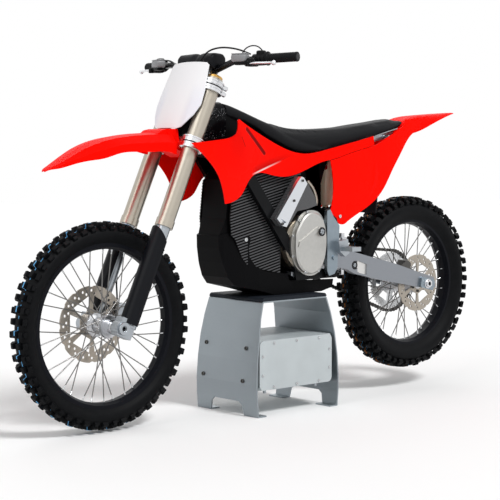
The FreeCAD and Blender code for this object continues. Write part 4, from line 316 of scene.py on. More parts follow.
rim_black = plastic("black rim", (0.003, 0.0035, 0.006), 0.42, shine=0.10)
stand_sheet = brushed("brushed stand sheet", (0.31, 0.345, 0.37), 0.46, (1.0, 1.0, 0.02))
charger_grey = plastic("charger grey paint", (0.49, 0.535, 0.55), 0.45, grain=0.05, shine=0.4)

# %% [markdown]
# ## Tyre rubber
#
# Tyre rubber is nearly black and dull, with a little grey dust where it has touched the ground. The
# casing has fine moulded rings near the bead. Faint coloured lines run round the crown. They are found
# by the distance from the middle of the tread and broken into dashes by the angle round the axle.

# %% Tyre rubber
DASH_SHARE = 0.72
DASH_WANDER = 0.2
CASING_RING_PITCH = math.tau / 700
CASING_RING_BAND = 0.03
BLACK_RUBBER = (0.002, 0.0023, 0.003)
DUSTY_RUBBER = (0.0065, 0.0068, 0.0075)
PALE_BLUE = (0.14, 0.42, 0.74)
DULL_ORANGE = (0.42, 0.16, 0.05)
FRONT_RIM_RADIUS = 0.267
REAR_RIM_RADIUS = 0.242


def rubber(name, axle, rim_radius, dashes):
    """Black rubber. A row of dashes is (side, half its width, colour, strength, dashes in a turn)."""
    made = Finish(name, Specular_IOR_Level=0.09)
    place = made.place()
    x, y, z = made.parts(place)
    dx = x - axle.x
    dz = z - axle.z
    radius = (dx * dx + dz * dz).power(0.5)
    angle = dz.arctan2(dx)
    cloud = made.noise(place, 30.0)
    speck = made.noise(place, 700.0, detail=2.0)
    colour = made.mix(cloud.between(0.45, 0.8) * 0.6, BLACK_RUBBER, DUSTY_RUBBER)
    for side, half_width, tint, strength, turns in dashes:
        near = ((y - side).absolute() < half_width)
        dash = ((angle * turns / math.tau + cloud * DASH_WANDER).modulo(1.0) < DASH_SHARE)
        colour = made.mix(near * dash * strength, colour, tint)
    made.set("Base Color", colour)
    made.set("Roughness", cloud * 0.2 + 0.44)
    rings = (radius * (math.tau / CASING_RING_PITCH)).sine() * (radius < rim_radius + CASING_RING_BAND)
    made.bump(rings * 0.12 + speck * 0.5, 0.5, 0.0006)
    return made


front_dashes = [(0.0065, 0.0022, PALE_BLUE, 1.0, 58)]
rear_dashes = [(0.004, 0.0010, PALE_BLUE, 0.45, 63), (-0.004, 0.0010, DULL_ORANGE, 0.55, 55)]
front_rubber = rubber("front tyre rubber", front_axle, FRONT_RIM_RADIUS, front_dashes)
rear_rubber = rubber("rear tyre rubber", rear_axle, REAR_RIM_RADIUS, rear_dashes)

# %% [markdown]
# ## Making a piece by hand, in code
#
# Every new piece starts as a primitive of about the right size, is shaped in edit mode, and ends at the
# origin with its place in its mesh, as the frame's own nodes do. An operator acts on all that is
# selected, so each helper first leaves edit mode and selects nothing else.

# %% Making helpers
MERGE_DISTANCE = 0.00002


def fresh():
    """Leaves edit mode and selects nothing."""
    if bpy.context.mode != "OBJECT":
        bpy.ops.object.mode_set(mode="OBJECT")
    bpy.ops.object.select_all(action="DESELECT")


def only(piece):
    """Selects one piece and makes it the active one."""
    fresh()
    piece.select_set(True)
    bpy.context.view_layer.objects.active = piece


def start(kind, **how):
    """Adds a primitive and puts its place and turn into its mesh."""
    fresh()
    getattr(bpy.ops.mesh, "primitive_" + kind + "_add")(**how)
    bpy.ops.object.transform_apply()
    return bpy.context.object


def pick(piece, wanted, kind="FACE"):
    """Opens edit mode with the faces, edges or points selected that pass a test of place and direction."""
    only(piece)
    bpy.ops.object.mode_set(mode="EDIT")
    bpy.ops.mesh.select_mode(type=kind)
    bpy.ops.mesh.select_all(action="DESELECT")
    bpy.ops.object.mode_set(mode="OBJECT")
    mesh = piece.data
    if kind == "FACE":
        for face in mesh.polygons:
            face.select = bool(wanted(face.center, face.normal))
    elif kind == "EDGE":
        for edge in mesh.edges:
            low, high = (mesh.vertices[i].co for i in edge.vertices)
            edge.select = bool(wanted((low + high) / 2, (high - low).normalized()))
    else:
        for point in mesh.vertices:
            point.select = bool(wanted(point.co, point.normal))
    bpy.ops.object.mode_set(mode="EDIT")


def everywhere(place, direction):
    """A test that all faces, edges and points pass."""
    return True


def on_top(place, normal):
    """A test that only faces that look upwards pass."""
    return normal.z > 0.9


def modify(piece, kind, **settings):
    """Adds a modifier and applies it."""
    only(piece)
    modifier = piece.modifiers.new(kind.lower(), kind)
    for name, value in settings.items():
        setattr(modifier, name, value)
    bpy.ops.object.modifier_apply(modifier=modifier.name)


def rounded(piece, width, segments=2, angle=30):
    """Bevels every edge that is sharper than an angle."""
    modify(piece, "BEVEL", width=width, segments=segments, limit_method="ANGLE",
           angle_limit=math.radians(angle))


def tidy_mesh(piece):
    """Merges doubled points and turns all faces outwards."""
    pick(piece, everywhere, "VERT")
    bpy.ops.mesh.remove_doubles(threshold=MERGE_DISTANCE)
    bpy.ops.mesh.normals_make_consistent(inside=False)
    fresh()


def copies(piece, moves):
    """Copies a piece once for each move, each copy with its own mesh, and joins the copies."""
    fresh()
    made = []
    for move in moves:
        twin = piece.copy()
        twin.data = piece.data.copy()
        twin.data.transform(move)
        bpy.context.collection.objects.link(twin)
        twin.select_set(True)
        made.append(twin)
    bpy.context.view_layer.objects.active = made[0]
    bpy.ops.object.join()
    bpy.data.objects.remove(piece)
    return made[0]


def joined(*pieces):
    """Joins several pieces into the first."""
    fresh()
    for piece in pieces:
        piece.select_set(True)
    bpy.context.view_layer.objects.active = pieces[0]
    if len(pieces) > 1:
        bpy.ops.object.join()
    return pieces[0]


def section(places):
    """A closed outline: a circle of as many points, each then moved to its place."""
    piece = start("circle", vertices=len(places), radius=0.1)
    for point, place in zip(piece.data.vertices, places):
        point.co = place
    return piece


def spun(outline, centre, axis, steps):
    """A turned piece: a closed outline of (radius, along) carried round an axis through a centre."""
    axis = Vector(axis).normalized()
    out = axis.orthogonal().normalized()
    piece = section([Vector(centre) + out * radius + axis * along for radius, along in outline])
    pick(piece, everywhere, "VERT")
    bpy.ops.mesh.spin(steps=steps, angle=math.tau, center=centre, axis=axis)
    tidy_mesh(piece)
    return piece


def plate(places, depth, edge=0.0, segments=2):
    """A flat outline with a depth, its edges softened."""
    piece = section(places)
    pick(piece, everywhere, "EDGE")
    bpy.ops.mesh.edge_face_add()
    bpy.ops.mesh.select_mode(type="FACE")
    bpy.ops.mesh.select_all(action="SELECT")
    bpy.ops.mesh.extrude_region_move(TRANSFORM_OT_translate={"value": Vector(depth)})
    tidy_mesh(piece)
    if edge:
        rounded(piece, edge, segments)
    return piece


def smooth_line(name, places, radius, sides, resolution):
    """A NURBS curve with a round section, from the first of its points to the last."""
    fresh()
    bpy.ops.curve.primitive_nurbs_path_add()
    line = bpy.context.object
    line.name = name
    curve = line.data
    curve.splines.clear()
    spline = curve.splines.new("NURBS")
    spline.points.add(len(places) - 1)
    for point, place in zip(spline.points, places):
        point.co = (*place, 1)
    spline.order_u = 3
    spline.use_endpoint_u = True
    spline.resolution_u = resolution
    curve.bevel_depth = radius
    curve.bevel_resolution = sides
    curve.use_fill_caps = True
    return line


def wire(places, radius, sides=3, resolution=6):
    """A round wire along a smooth line through the air, as a mesh."""
    only(smooth_line("wire", places, radius, sides, resolution))
    bpy.ops.object.convert(target="MESH")
    return bpy.context.object


def done(piece, name, finish, body, smooth, *stands_for):
    """Names a piece, smooths it below an angle in degrees, and gives it its finish and its body."""
    only(piece)
    bpy.ops.object.shade_smooth_by_angle(angle=math.radians(smooth))
    piece.name = name
    piece.data.name = name
    piece.data.materials.clear()
    piece.data.materials.append(finish.material)
    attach(piece, body)
    if stands_for:
        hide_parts(*stands_for)
    fresh()
    print(name, "has", len(piece.data.polygons), "faces and moves with", body)
    return piece


# %% [markdown]
# ## Brake hoses
#
# A brake hose is a stiff tube with a fixed length. It leaves its lever straight, arcs over the bar pad
# and runs down the fork or into the frame. A NURBS spline over a few control points bends as such a hose
# does: it never turns sharper than its points ask. The points are those that the frame's plain hose
# follows, each a height along the fork, a side offset and a lead.

# %% Brake hoses
HOSE_RADIUS = 0.003
HOSE_SIDES = 4
HOSE_RESOLUTION = 8
FRONT_HOSE_POINTS = [
    (1.008, -0.241, 0), (1.008, -0.203, 0.002), (0.996, -0.163, 0.008), (0.978, -0.125, 0.020),
    (0.950, -0.092, 0.035), (0.912, -0.068, 0.041), (0.868, -0.072, 0.042), (0.828, -0.093, 0.038),
    (0.796, -0.119, 0.028), (0.766, -0.132, 0.008), (0.736, -0.133, -0.016), (0.702, -0.129, -0.031),
    (0.650, -0.126, -0.033), (0.590, -0.125, -0.031), (0.525, -0.124, -0.029), (0.460, -0.124, -0.029),
    (0.395, -0.124, -0.031), (0.335, -0.124, -0.032), (0.280, -0.122, -0.032), (0.225, -0.117, -0.033),
    (0.175, -0.106, -0.038), (0.135, -0.089, -0.046), (0.102, -0.072, -0.047),
]
REAR_HOSE_POINTS = [
    (1.008, 0.241, 0), (1.020, 0.202, 0.008), (1.026, 0.158, 0.020), (1.022, 0.115, 0.038),
    (1.003, 0.075, 0.052), (0.964, 0.044, 0.047), (0.915, 0.024, 0.043), (0.845, 0.016, 0.038),
    (0.770, 0.013, 0.030), (0.697, 0.012, 0.017),
]


def spline_length(line):
    """The length of a curve's own line, read from it with its round section left off."""
    depth = line.data.bevel_depth
    line.data.bevel_depth = 0
    bare = bpy.data.meshes.new_from_object(line)
    line.data.bevel_depth = depth
    places = [point.co for point in bare.vertices]
    return sum((b - a).length for a, b in zip(places, places[1:]))


def hose(name, points, node):
    """A brake hose in the place of its plain tube."""
    places = [fork_point(*point) for point in points]
    line = smooth_line(name, places, HOSE_RADIUS, HOSE_SIDES, HOSE_RESOLUTION)
    length = spline_length(line)
    line.data.materials.append(hose_rubber.material)
    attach(line, "fork")
    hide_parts(node)
    print(name, "is", round(length, 3), "m long")
    return line


hose("front_hose", FRONT_HOSE_POINTS, "front_brake_hose")
hose("rear_hose", REAR_HOSE_POINTS, "rear_brake_hose")

# %% [markdown]
# ## Tyres with their knobs
#
# A dirt tyre is a smooth casing with rows of rubber knobs moulded onto it. The casing is one outline spun
# round the axle. One knob of each row is shaped at the front of the wheel and copied round it, so that
# every knob has the same slightly narrowed top with a softened edge.

# %% Tyre helpers
KNOB_NARROWING = 0.84
KNOB_EDGE = 0.0012
CASING_STEPS = 120
BEAD_SHARES = (0.50, 0.56)
BEAD_SINK = 0.002
BEAD_RISE = 0.010
WALL_SHARES = [(0.26, 0.72), (0.40, 0.84), (0.56, 0.885), (0.72, 0.84), (0.85, 0.68), (0.94, 0.46), (1, 0.20)]


def knob(centre, out, size, height):
    """A tread block that stands on the casing: size is its width across and its length around."""
    across = LEFT - out * LEFT.dot(out)
    across.normalize()
    around = out.cross(across)
    piece = start("cube", size=1.0)
    pick(piece, on_top)
    bpy.ops.transform.resize(value=(KNOB_NARROWING, KNOB_NARROWING, 1), center_override=(0, 0, 0.5))
    fresh()
    turned = Matrix((across, around, out)).transposed().to_4x4()
    piece.data.transform(Matrix.Diagonal((*size, height, 1)))
    piece.data.transform(Matrix.Translation(Vector(centre) - out * height / 2) @ turned)
    rounded(piece, KNOB_EDGE, 1, 40)
    return piece


def about(centre, angle):
    """A turn by an angle about a line across the bike, through a centre."""
    there = Matrix.Translation(centre)
    return there @ Matrix.Rotation(angle, 4, "Y") @ there.inverted()


def tyre(name, axle, outline, rows, count, finish, body, node):
    """The casing with all its rows. A row is (side, radius of its top, lean, size, height, phase)."""
    pieces = [spun(outline, axle, LEFT, CASING_STEPS)]
    for side, radius, lean, size, height, phase in rows:
        turns = [about(axle, math.tau * (i + phase) / count) for i in range(count)]
        for mirror in ((1, -1) if side else (1,)):
            out = (AHEAD + LEFT * math.tan(math.radians(lean)) * mirror).normalized()
            lug = knob(axle + AHEAD * radius + LEFT * side * mirror, out, size, height)
            pieces.append(copies(lug, turns))
    return done(joined(*pieces), name, finish, body, 40, node)


def casing_outline(rim, crown, half):
    """The casing's section from bead to bead, as (radius, side)."""
    one_side = [(rim - BEAD_SINK, half * BEAD_SHARES[0]), (rim + BEAD_RISE, half * BEAD_SHARES[1])]
    one_side += [(rim + (crown - rim) * up, half * out) for up, out in WALL_SHARES]
    return one_side + [(radius, -side) for radius, side in reversed(one_side)]


# %% [markdown]
# The front tyre has narrow rows, and a thin pale blue line on its crown, broken by the knobs. The rear
# tyre is wider, with larger blocks that dig. Most rows stand half a step from their neighbour.

# %% Tyres
FRONT_CROWN = 0.3345
FRONT_HALF = 0.044
FRONT_COUNT = 27
FRONT_KNOBS = [
    (0.0, 0.3485, 0, (0.022, 0.024), 0.016, 0.0),
    (0.0165, 0.3465, 10, (0.017, 0.022), 0.016, 0.5),
    (0.0300, 0.3420, 24, (0.015, 0.024), 0.016, 0.05),
    (0.0390, 0.3310, 46, (0.016, 0.024), 0.013, 0.52),
    (0.0395, 0.3290, 50, (0.014, 0.018), 0.011, 0.04),
]
REAR_CROWN = 0.3265
REAR_HALF = 0.059
REAR_COUNT = 28
REAR_KNOBS = [
    (0.0125, 0.3410, 4, (0.020, 0.023), 0.017, 0.0),
    (0.0, 0.3415, 0, (0.026, 0.021), 0.017, 0.5),
    (0.0350, 0.3385, 12, (0.020, 0.024), 0.017, 0.47),
    (0.0515, 0.3270, 40, (0.021, 0.024), 0.015, 0.0),
    (0.0525, 0.3240, 46, (0.016, 0.018), 0.011, 0.52),
]
tyre("front_tyre_tread", front_axle, casing_outline(FRONT_RIM_RADIUS, FRONT_CROWN, FRONT_HALF), FRONT_KNOBS,
     FRONT_COUNT, front_rubber, "front_wheel", "front_tyre")
tyre("rear_tyre_tread", rear_axle, casing_outline(REAR_RIM_RADIUS, REAR_CROWN, REAR_HALF), REAR_KNOBS,
     REAR_COUNT, rear_rubber, "rear_wheel", "rear_tyre")

# %% [markdown]
# ## The seat and the bar pad
#
# Both are foam under a cover. Foam has no flat faces: it swells a little between its edges. The plain
# shape is rebuilt as small even squares, made a little smaller, and then blown up from inside by the
# cloth solver, with its base held. The swelling is limited, so that the pad stays in its place.

# %% Foam
SOLVER_FRAMES = 20
SKIN_STIFFNESS = 20
SWELL_PRESSURE = 4.0
SWELL_LIMIT = 0.006


def swelled(piece, held):
    """Blows a closed skin up with the cloth solver, its held points fixed, and limits how far it goes."""
    before = [point.co.copy() for point in piece.data.vertices]
    group = piece.vertex_groups.new(name="held")
    group.add([i for i, place in enumerate(before) if held(place)], 1.0, "REPLACE")
    only(piece)
    modifier = piece.modifiers.new("skin", "CLOTH")
    modifier.settings.use_pressure = True
    modifier.settings.uniform_pressure_force = SWELL_PRESSURE
    modifier.settings.vertex_group_mass = "held"
    modifier.settings.effector_weights.gravity = 0
    modifier.settings.tension_stiffness = SKIN_STIFFNESS
    modifier.settings.compression_stiffness = SKIN_STIFFNESS
    modifier.point_cache.frame_start = 1
    modifier.point_cache.frame_end = SOLVER_FRAMES
    for frame_number in range(1, SOLVER_FRAMES + 1):
        bpy.context.scene.frame_set(frame_number)
    bpy.ops.object.modifier_apply(modifier=modifier.name)
    bpy.context.scene.frame_set(1)
    for point, place in zip(piece.data.vertices, before):
        step = point.co - place
        if step.length > SWELL_LIMIT:
            point.co = place + step.normalized() * SWELL_LIMIT


def foam(node, grain, shrink, soften, held):
    """A soft copy of a plain node: even squares, rounded corners and a swollen skin."""
    fresh()
    piece = bpy.data.objects.new("foam", nodes[node].data.copy())
    bpy.context.collection.objects.link(piece)
    modify(piece, "REMESH", mode="VOXEL", voxel_size=grain)
    modify(piece, "DISPLACE", strength=-shrink, mid_level=0)
    modify(piece, "SMOOTH", factor=0.5, iterations=soften)
    swelled(piece, held)
    return piece


# %% [markdown]
# A dirt bike's seat cover grips the rider's knees with fine upright ribs on its sides. They are far too
# fine to model one by one, so they are a bump in the material, found by the distance along the bike.
# Their crests are also painted lighter, as a painted highlight, over a random lighter tone.
# The seat's nose is thin where it climbs onto the tank cover, so it is held as well as its base.

# %% Seat cover
RIB_PITCH = 0.0048
RIB_LEAN = 0.35
COVER_DARK = (0.0028, 0.003, 0.004)
COVER_HIGHLIGHT_AND_TONE = (0.011, 0.0115, 0.013)
SEAT_BASE_HELD = 0.012
SEAT_NOSE_HELD = 0.20

cover = Finish("seat cover", Specular_IOR_Level=0.10)
place = cover.place()
x, y, z = cover.parts(place)
cloud = cover.noise(place, 20.0)
grit = cover.noise(place, 1500.0, detail=2.0)
ribs = ((x + z * RIB_LEAN) * (math.tau / RIB_PITCH)).sine()
# The rib crests are painted lighter as a painted highlight, over a random lighter tone.
cover.set("Base Color", cover.mix(ribs.between(-1.0, 1.0) * 0.5 + cloud * 0.3, COVER_DARK, COVER_HIGHLIGHT_AND_TONE))
cover.set("Roughness", cloud * 0.12 + grit * 0.1 + 0.40)
cover.bump(ribs * 0.35 + grit * 0.5, 0.45, 0.0008)

low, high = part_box("seat")
seat = foam("seat", grain=0.006, shrink=0.002, soften=3,
            held=lambda place: place.z < low.z + SEAT_BASE_HELD or place.x > high.x - SEAT_NOSE_HELD)
modify(seat, "SUBSURF", levels=1)
done(seat, "seat_cushion", cover, "chassis", 80, "seat")

# %% [markdown]
# The bar pad has two rounded lobes with a sewn channel between them, where its straps go round the bar.
# The channel comes after the swelling, because the rebuilding would have wiped it out.

# %% Bar pad
PAD_BASE_HELD = 0.006
CHANNEL_DEPTH = 0.010
CHANNEL_WIDTH = 0.012
CHANNEL_SIDE_SHARE = 0.4

pad_cover = plastic("bar pad cover", (0.004, 0.0045, 0.006), 0.50, grain=0.25, shine=0.14)
low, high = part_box("bar_pad")
pad = foam("bar_pad", grain=0.004, shrink=0.001, soften=16,
           held=lambda place: place.z < low.z + PAD_BASE_HELD)
for point in pad.data.vertices:
    sink = CHANNEL_DEPTH * math.exp(-(point.co.y / CHANNEL_WIDTH) ** 2)
    point.co.z -= sink * max(0.0, (point.co.z - low.z) / (high.z - low.z))
    point.co.x -= sink * CHANNEL_SIDE_SHARE * (2 * point.co.x - low.x - high.x) / (high.x - low.x)
modify(pad, "SUBSURF", levels=1)
done(pad, "bar_pad_cushion", pad_cover, "fork", 80, "bar_pad")

# %% [markdown]
# ## Bolts and screws
#
# Small bolt heads are what makes a machine look put together. One head is shaped with its sunken socket
# and copied to each place. A place is found by looking straight at a frame node from its side, so
# that each head sits on what carries it.

# %% Bolt helpers
SOCKET_INSET_SHARE = 0.48
SOCKET_DEPTH_SHARE = 0.6
HEAD_EDGE_SHARE = 0.14
HEAD_SINK_SHARE = 0.1


def bolt_head(radius, height):
    """A round head with a sunken socket, standing on the origin."""
    piece = start("cylinder", vertices=18, radius=radius, depth=height, location=(0, 0, height / 2))
    pick(piece, on_top)
    bpy.ops.mesh.inset(thickness=radius * SOCKET_INSET_SHARE, depth=0)
    bpy.ops.mesh.extrude_region_move(TRANSFORM_OT_translate={"value": UP * -height * SOCKET_DEPTH_SHARE})
    fresh()
    rounded(piece, radius * HEAD_EDGE_SHARE, 2, 50)
    return piece


def facing(place, out):
    """The move that stands a piece of the origin on a place, pointing out."""
    return Matrix.Translation(place) @ Vector(out).to_track_quat("Z", "Y").to_matrix().to_4x4()


def seen_from(node, point, way):
    """Where a line that comes in from outside first meets a node, and which way is out there."""
    way = Vector(way).normalized()
    hit, place, normal, _ = nodes[node].ray_cast(Vector(point) - way, way)
    if not hit:
        raise ValueError("nothing of " + node + " lies there: " + str(point))
    return place, normal


def from_side(node, shares, side=1):
    """The same, looking straight across the bike at a point given by its shares."""
    return seen_from(node, side_point(*shares), LEFT * -side)


def bolts(name, places, head, finish, body):
    """Bolt heads at several places, as one piece. A head is (radius, height)."""
    radius, height = head
    moves = [facing(place - out * height * HEAD_SINK_SHARE, out) for place, out in places]
    return done(copies(bolt_head(radius, height), moves), name, finish, body, 40)


# %% [markdown]
# The motor cover and the inverter show theirs on the left. The side panels and the skid plate have one
# on each side. Each place is a share of the wheelbase and a share of the seat's height, and each head
# has its radius and its height.

# %% Bolts of the chassis
COVER_BOLTS = [
    (0.5116, 0.6230), (0.5110, 0.5490), (0.5445, 0.4920), (0.5600, 0.7050), (0.5300, 0.6780),
    (0.6175, 0.6690), (0.6195, 0.5500), (0.5980, 0.4920),
]
COVER_HEAD = (0.0055, 0.005)
INVERTER_BOLTS = [(0.5270, 0.8180), (0.4985, 0.7480), (0.4600, 0.6680)]
INVERTER_HEAD = (0.0048, 0.004)
PANEL_BOLT = (0.6760, 0.6850)
PANEL_HEAD = (0.0065, 0.004)
SKID_BOLT = (0.3791, 0.6148)
SKID_HEAD = (0.0070, 0.005)
cover_places = [from_side("motor_cover", shares) for shares in COVER_BOLTS]
inverter_places = [from_side("inverter_case", shares) for shares in INVERTER_BOLTS]
panel_places = [from_side("side_panels", PANEL_BOLT, side) for side in (1, -1)]
skid_places = [from_side("skid_plate", SKID_BOLT, side) for side in (1, -1)]
bolts("motor_cover_bolts", cover_places, COVER_HEAD, steel, "chassis")
bolts("inverter_bolts", inverter_places, INVERTER_HEAD, dark_steel, "chassis")
bolts("panel_bolts", panel_places, PANEL_HEAD, steel, "chassis")
bolts("skid_bolts", skid_places, SKID_HEAD, steel, "chassis")

# %% [markdown]
# ## Grips
#
# A grip is one turned shape: a flange next to the thumb, a soft sleeve with many shallow grooves, and a
# rounded end. Its outline is spun round the bar's end. The other grip is its mirror image, and because a
# mirror turns a shape inside out, its faces are turned outwards again.

# %% Grips
BAR_TIP = Vector((0.2265, 0.404, 1.247))
BAR_RUN = Vector((-0.0704, 0.2343, 0.0049)).normalized()
BAR_RADIUS = 0.0112
GRIP_LENGTH = 0.118
GRIP_FLANGE = [
    (BAR_RADIUS, -GRIP_LENGTH), (0.0232, -GRIP_LENGTH), (0.0240, -0.1166), (0.0238, -0.1140),
    (0.0200, -0.1128), (0.0172, -0.1100), (0.0164, -0.1060),
]
GRIP_END = [
    (0.0165, -0.0060), (0.0168, -0.0035), (0.0160, -0.0012), (0.0130, -0.0002), (0.0006, 0.0),
    (0.0006, -0.0040),
]
RIDGES = 15
RIDGE_START = -0.1030
RIDGE_PITCH = 0.0064
RIDGE_RADIUS = 0.0163
GROOVE_RADIUS = 0.0155


def flip(piece):
    """Moves a piece to the other side of the bike."""
    twin = copies(piece, [Matrix.Diagonal((1, -1, 1, 1))])
    tidy_mesh(twin)
    return twin


def both_sides(*pieces):
    """Pieces and their mirror images, joined."""
    whole = joined(*pieces)
    fresh()
    twin = whole.copy()
    twin.data = whole.data.copy()
    bpy.context.collection.objects.link(twin)
    return joined(whole, flip(twin))


def grip_outline():
    """The half section of a grip, from its flange out to its end."""
    outline = list(GRIP_FLANGE)
    for i in range(RIDGES):
        foot = RIDGE_START + i * RIDGE_PITCH
        for quarter, radius in enumerate((RIDGE_RADIUS, GROOVE_RADIUS, GROOVE_RADIUS, RIDGE_RADIUS)):
            outline.append((radius, foot + quarter * RIDGE_PITCH / 4))
    return outline + GRIP_END


grips = both_sides(spun(grip_outline(), BAR_TIP, BAR_RUN, 40))
done(grips, "grip_sleeves", grip_rubber, "fork", 40, "grips")

# %% [markdown]
# ## Levers, clamps and reservoirs
#
# Each brake lever turns in a clamp on the bar. A small master cylinder sits beside it, with a flat
# reservoir whose lid has two screws. The lever is a flattened rod that ends in a ball. Each block is
# given by its distance in from the bar's tip, its offset from the bar's line, its size and its edge.

# %% Hand controls
BAR_TURN = math.atan2(-BAR_RUN.x, BAR_RUN.y)
CLAMP_AT = 0.158
SWITCH_AT = 0.1375
LEVER_AT = (0.146, (0.050, 0.004, -0.018))
KNUCKLE_RADIUS = 0.0095
KNUCKLE_LENGTH = 0.018
KNUCKLE_EDGE = 0.0015
CLAMP_OUTLINE = [
    (BAR_RADIUS, -0.013), (0.0172, -0.013), (0.0180, -0.0115), (0.0180, 0.0115), (0.0172, 0.013),
    (BAR_RADIUS, 0.013),
]
SWITCH_OUTLINE = [
    (BAR_RADIUS, -0.018), (0.0200, -0.018), (0.0222, -0.0150), (0.0226, -0.0020), (0.0215, 0.0),
    (0.0226, 0.0020), (0.0222, 0.0150), (0.0200, 0.018), (BAR_RADIUS, 0.018),
]
CARRIER = (0.162, (0.026, 0.006, -0.012), (0.040, 0.040, 0.028), 0.007)
PUMP = (0.182, (0.040, 0.0, -0.012), (0.024, 0.056, 0.016), 0.005)
THUMB_HOUSING = (0.137, (0.006, 0, 0.018), (0.024, 0.030, 0.020), 0.006)
RESERVOIR = (0.190, (0.040, 0.0, 0.004), (0.036, 0.058, 0.026), 0.008)
RESERVOIR_LID = (0.190, (0.040, 0.0, 0.0175), (0.032, 0.054, 0.004), 0.0018)


def on_bar(distance, offset=(0, 0, 0)):
    """A point by its distance in from the bar's tip and its offset from the bar's line."""
    return BAR_TIP - BAR_RUN * distance + Vector(offset)


def block(centre, size, edge, turn=0.0):
    """A rounded block, turned about the upright."""
    piece = start("cube", size=1.0)
    piece.data.transform(Matrix.Diagonal((*size, 1)))
    piece.data.transform(Matrix.Translation(centre) @ Matrix.Rotation(turn, 4, "Z"))
    rounded(piece, edge, 3, 40)
    return piece


def bar_block(distance, offset, size, edge):
    """A rounded block beside the bar, in line with it."""
    return block(on_bar(distance, offset), size, edge, BAR_TURN)


lever_root = on_bar(*LEVER_AT)
clamp = spun(CLAMP_OUTLINE, on_bar(CLAMP_AT), BAR_RUN, 32)
knuckle = start("cylinder", vertices=24, radius=KNUCKLE_RADIUS, depth=KNUCKLE_LENGTH, location=lever_root)
rounded(knuckle, KNUCKLE_EDGE, 2, 40)
carriers = both_sides(clamp, bar_block(*CARRIER), bar_block(*PUMP), knuckle)
done(carriers, "lever_carriers", matt_black, "fork", 40, "hand_controls")
switches = both_sides(spun(SWITCH_OUTLINE, on_bar(SWITCH_AT), BAR_RUN, 32), bar_block(*THUMB_HOUSING))
done(switches, "throttle_housings", matt_black, "fork", 40)
done(both_sides(bar_block(*RESERVOIR)), "fluid_reservoirs", grey_plastic, "fork", 40)
done(both_sides(bar_block(*RESERVOIR_LID)), "reservoir_lids", grey_plastic, "fork", 40)

# %% Lid screws
LID_SCREW_OFFSET = (0.040, 0, 0.0193)
LID_SCREW_REACH = 0.021
LID_SCREW_HEAD = (0.0028, 0.002)
lid_places = []
for along in (-LID_SCREW_REACH, LID_SCREW_REACH):
    for side in (1, -1):
        point = on_bar(RESERVOIR_LID[0] - along, LID_SCREW_OFFSET)
        lid_places.append((Vector((point.x, point.y * side, point.z)), UP))
bolts("lid_screws", lid_places, LID_SCREW_HEAD, steel, "fork")

# %% Brake levers
LEVER_STEPS = [
    (0, 0, 0), (0.004, 0.018, 0.001), (-0.004, 0.040, 0.002), (-0.017, 0.062, 0.002),
    (-0.023, 0.078, 0.001), (-0.025, 0.090, 0.000),
]
LEVER_RADIUS = 0.0062
LEVER_FLATNESS = 0.62
BALL = [
    (0.0002, -0.0085), (0.0040, -0.0076), (0.0070, -0.0050), (0.0084, 0.0), (0.0070, 0.0050),
    (0.0040, 0.0076), (0.0002, 0.0085),
]
lever_line = [lever_root + Vector(step) for step in LEVER_STEPS]
lever = wire(lever_line, LEVER_RADIUS, 4, 8)
flatten = Matrix.Diagonal((1, 1, LEVER_FLATNESS, 1))
lever.data.transform(Matrix.Translation(lever_root) @ flatten @ Matrix.Translation(-lever_root))
ball = spun(BALL, lever_line[-1], BAR_RUN, 20)
done(both_sides(lever, ball), "brake_levers", milled_silver, "fork", 50)

# %% [markdown]
# On the left, the switch cable leaves the housing upwards and loops down to the reservoir. It is held at
# both ends, so it is a fixed wire. Each of its points is a distance in from the tip, and an offset.

# %% Switch cable
CABLE_RADIUS = 0.0022
CABLE_STEPS = [
    (0.132, (0.006, 0, 0.026)), (0.140, (0.010, 0, 0.040)), (0.158, (0.020, 0, 0.046)),
    (0.176, (0.030, 0, 0.038)), (0.192, (0.030, 0, 0.020)), (0.204, (0.018, 0, 0.004)),
    (0.224, (0.012, 0, -0.010)), (0.250, (0.006, 0, -0.014)),
]
cable = wire([on_bar(*step) for step in CABLE_STEPS], CABLE_RADIUS)
done(cable, "switch_cable", hose_rubber, "fork", 60)

# %% [markdown]
# ## Fork clamps
#
# Each clamp is a forging that is slit at its back and drawn tight by pinch bolts. A dark band between
# its two halves, bright lips, a boss with bolts behind each tube, and a gold cap on the tube finish it.

# %% Clamp details
TUBE_SIDE = 0.098
RING_RADIUS = 0.037
UPPER_CLAMP = 0.890
LOWER_CLAMP = 0.676
OUTER_LIP = 0.018
INNER_LIP = 0.007
BAND = [
    (RING_RADIUS - 0.002, -0.0022), (RING_RADIUS + 0.0006, -0.0022), (RING_RADIUS + 0.0006, 0.0022),
    (RING_RADIUS - 0.002, 0.0022),
]
LIP = [
    (RING_RADIUS - 0.002, -0.0030), (RING_RADIUS + 0.0022, -0.0022), (RING_RADIUS + 0.0022, 0.0022),
    (RING_RADIUS - 0.002, 0.0030),
]
LIP_HEIGHTS = [
    UPPER_CLAMP + OUTER_LIP, UPPER_CLAMP + INNER_LIP, UPPER_CLAMP - INNER_LIP, UPPER_CLAMP - OUTER_LIP,
    LOWER_CLAMP + OUTER_LIP, LOWER_CLAMP - OUTER_LIP,
]


def tube_rings(outline, heights, steps):
    """One turned outline round both fork tubes, at several heights."""
    return both_sides(*[spun(outline, fork_point(height, TUBE_SIDE), fork_up, steps) for height in heights])


done(tube_rings(BAND, (UPPER_CLAMP, LOWER_CLAMP), 40), "clamp_bands", black_anodised, "fork", 40)
done(tube_rings(LIP, LIP_HEIGHTS, 40), "clamp_lips", milled_silver, "fork", 40)

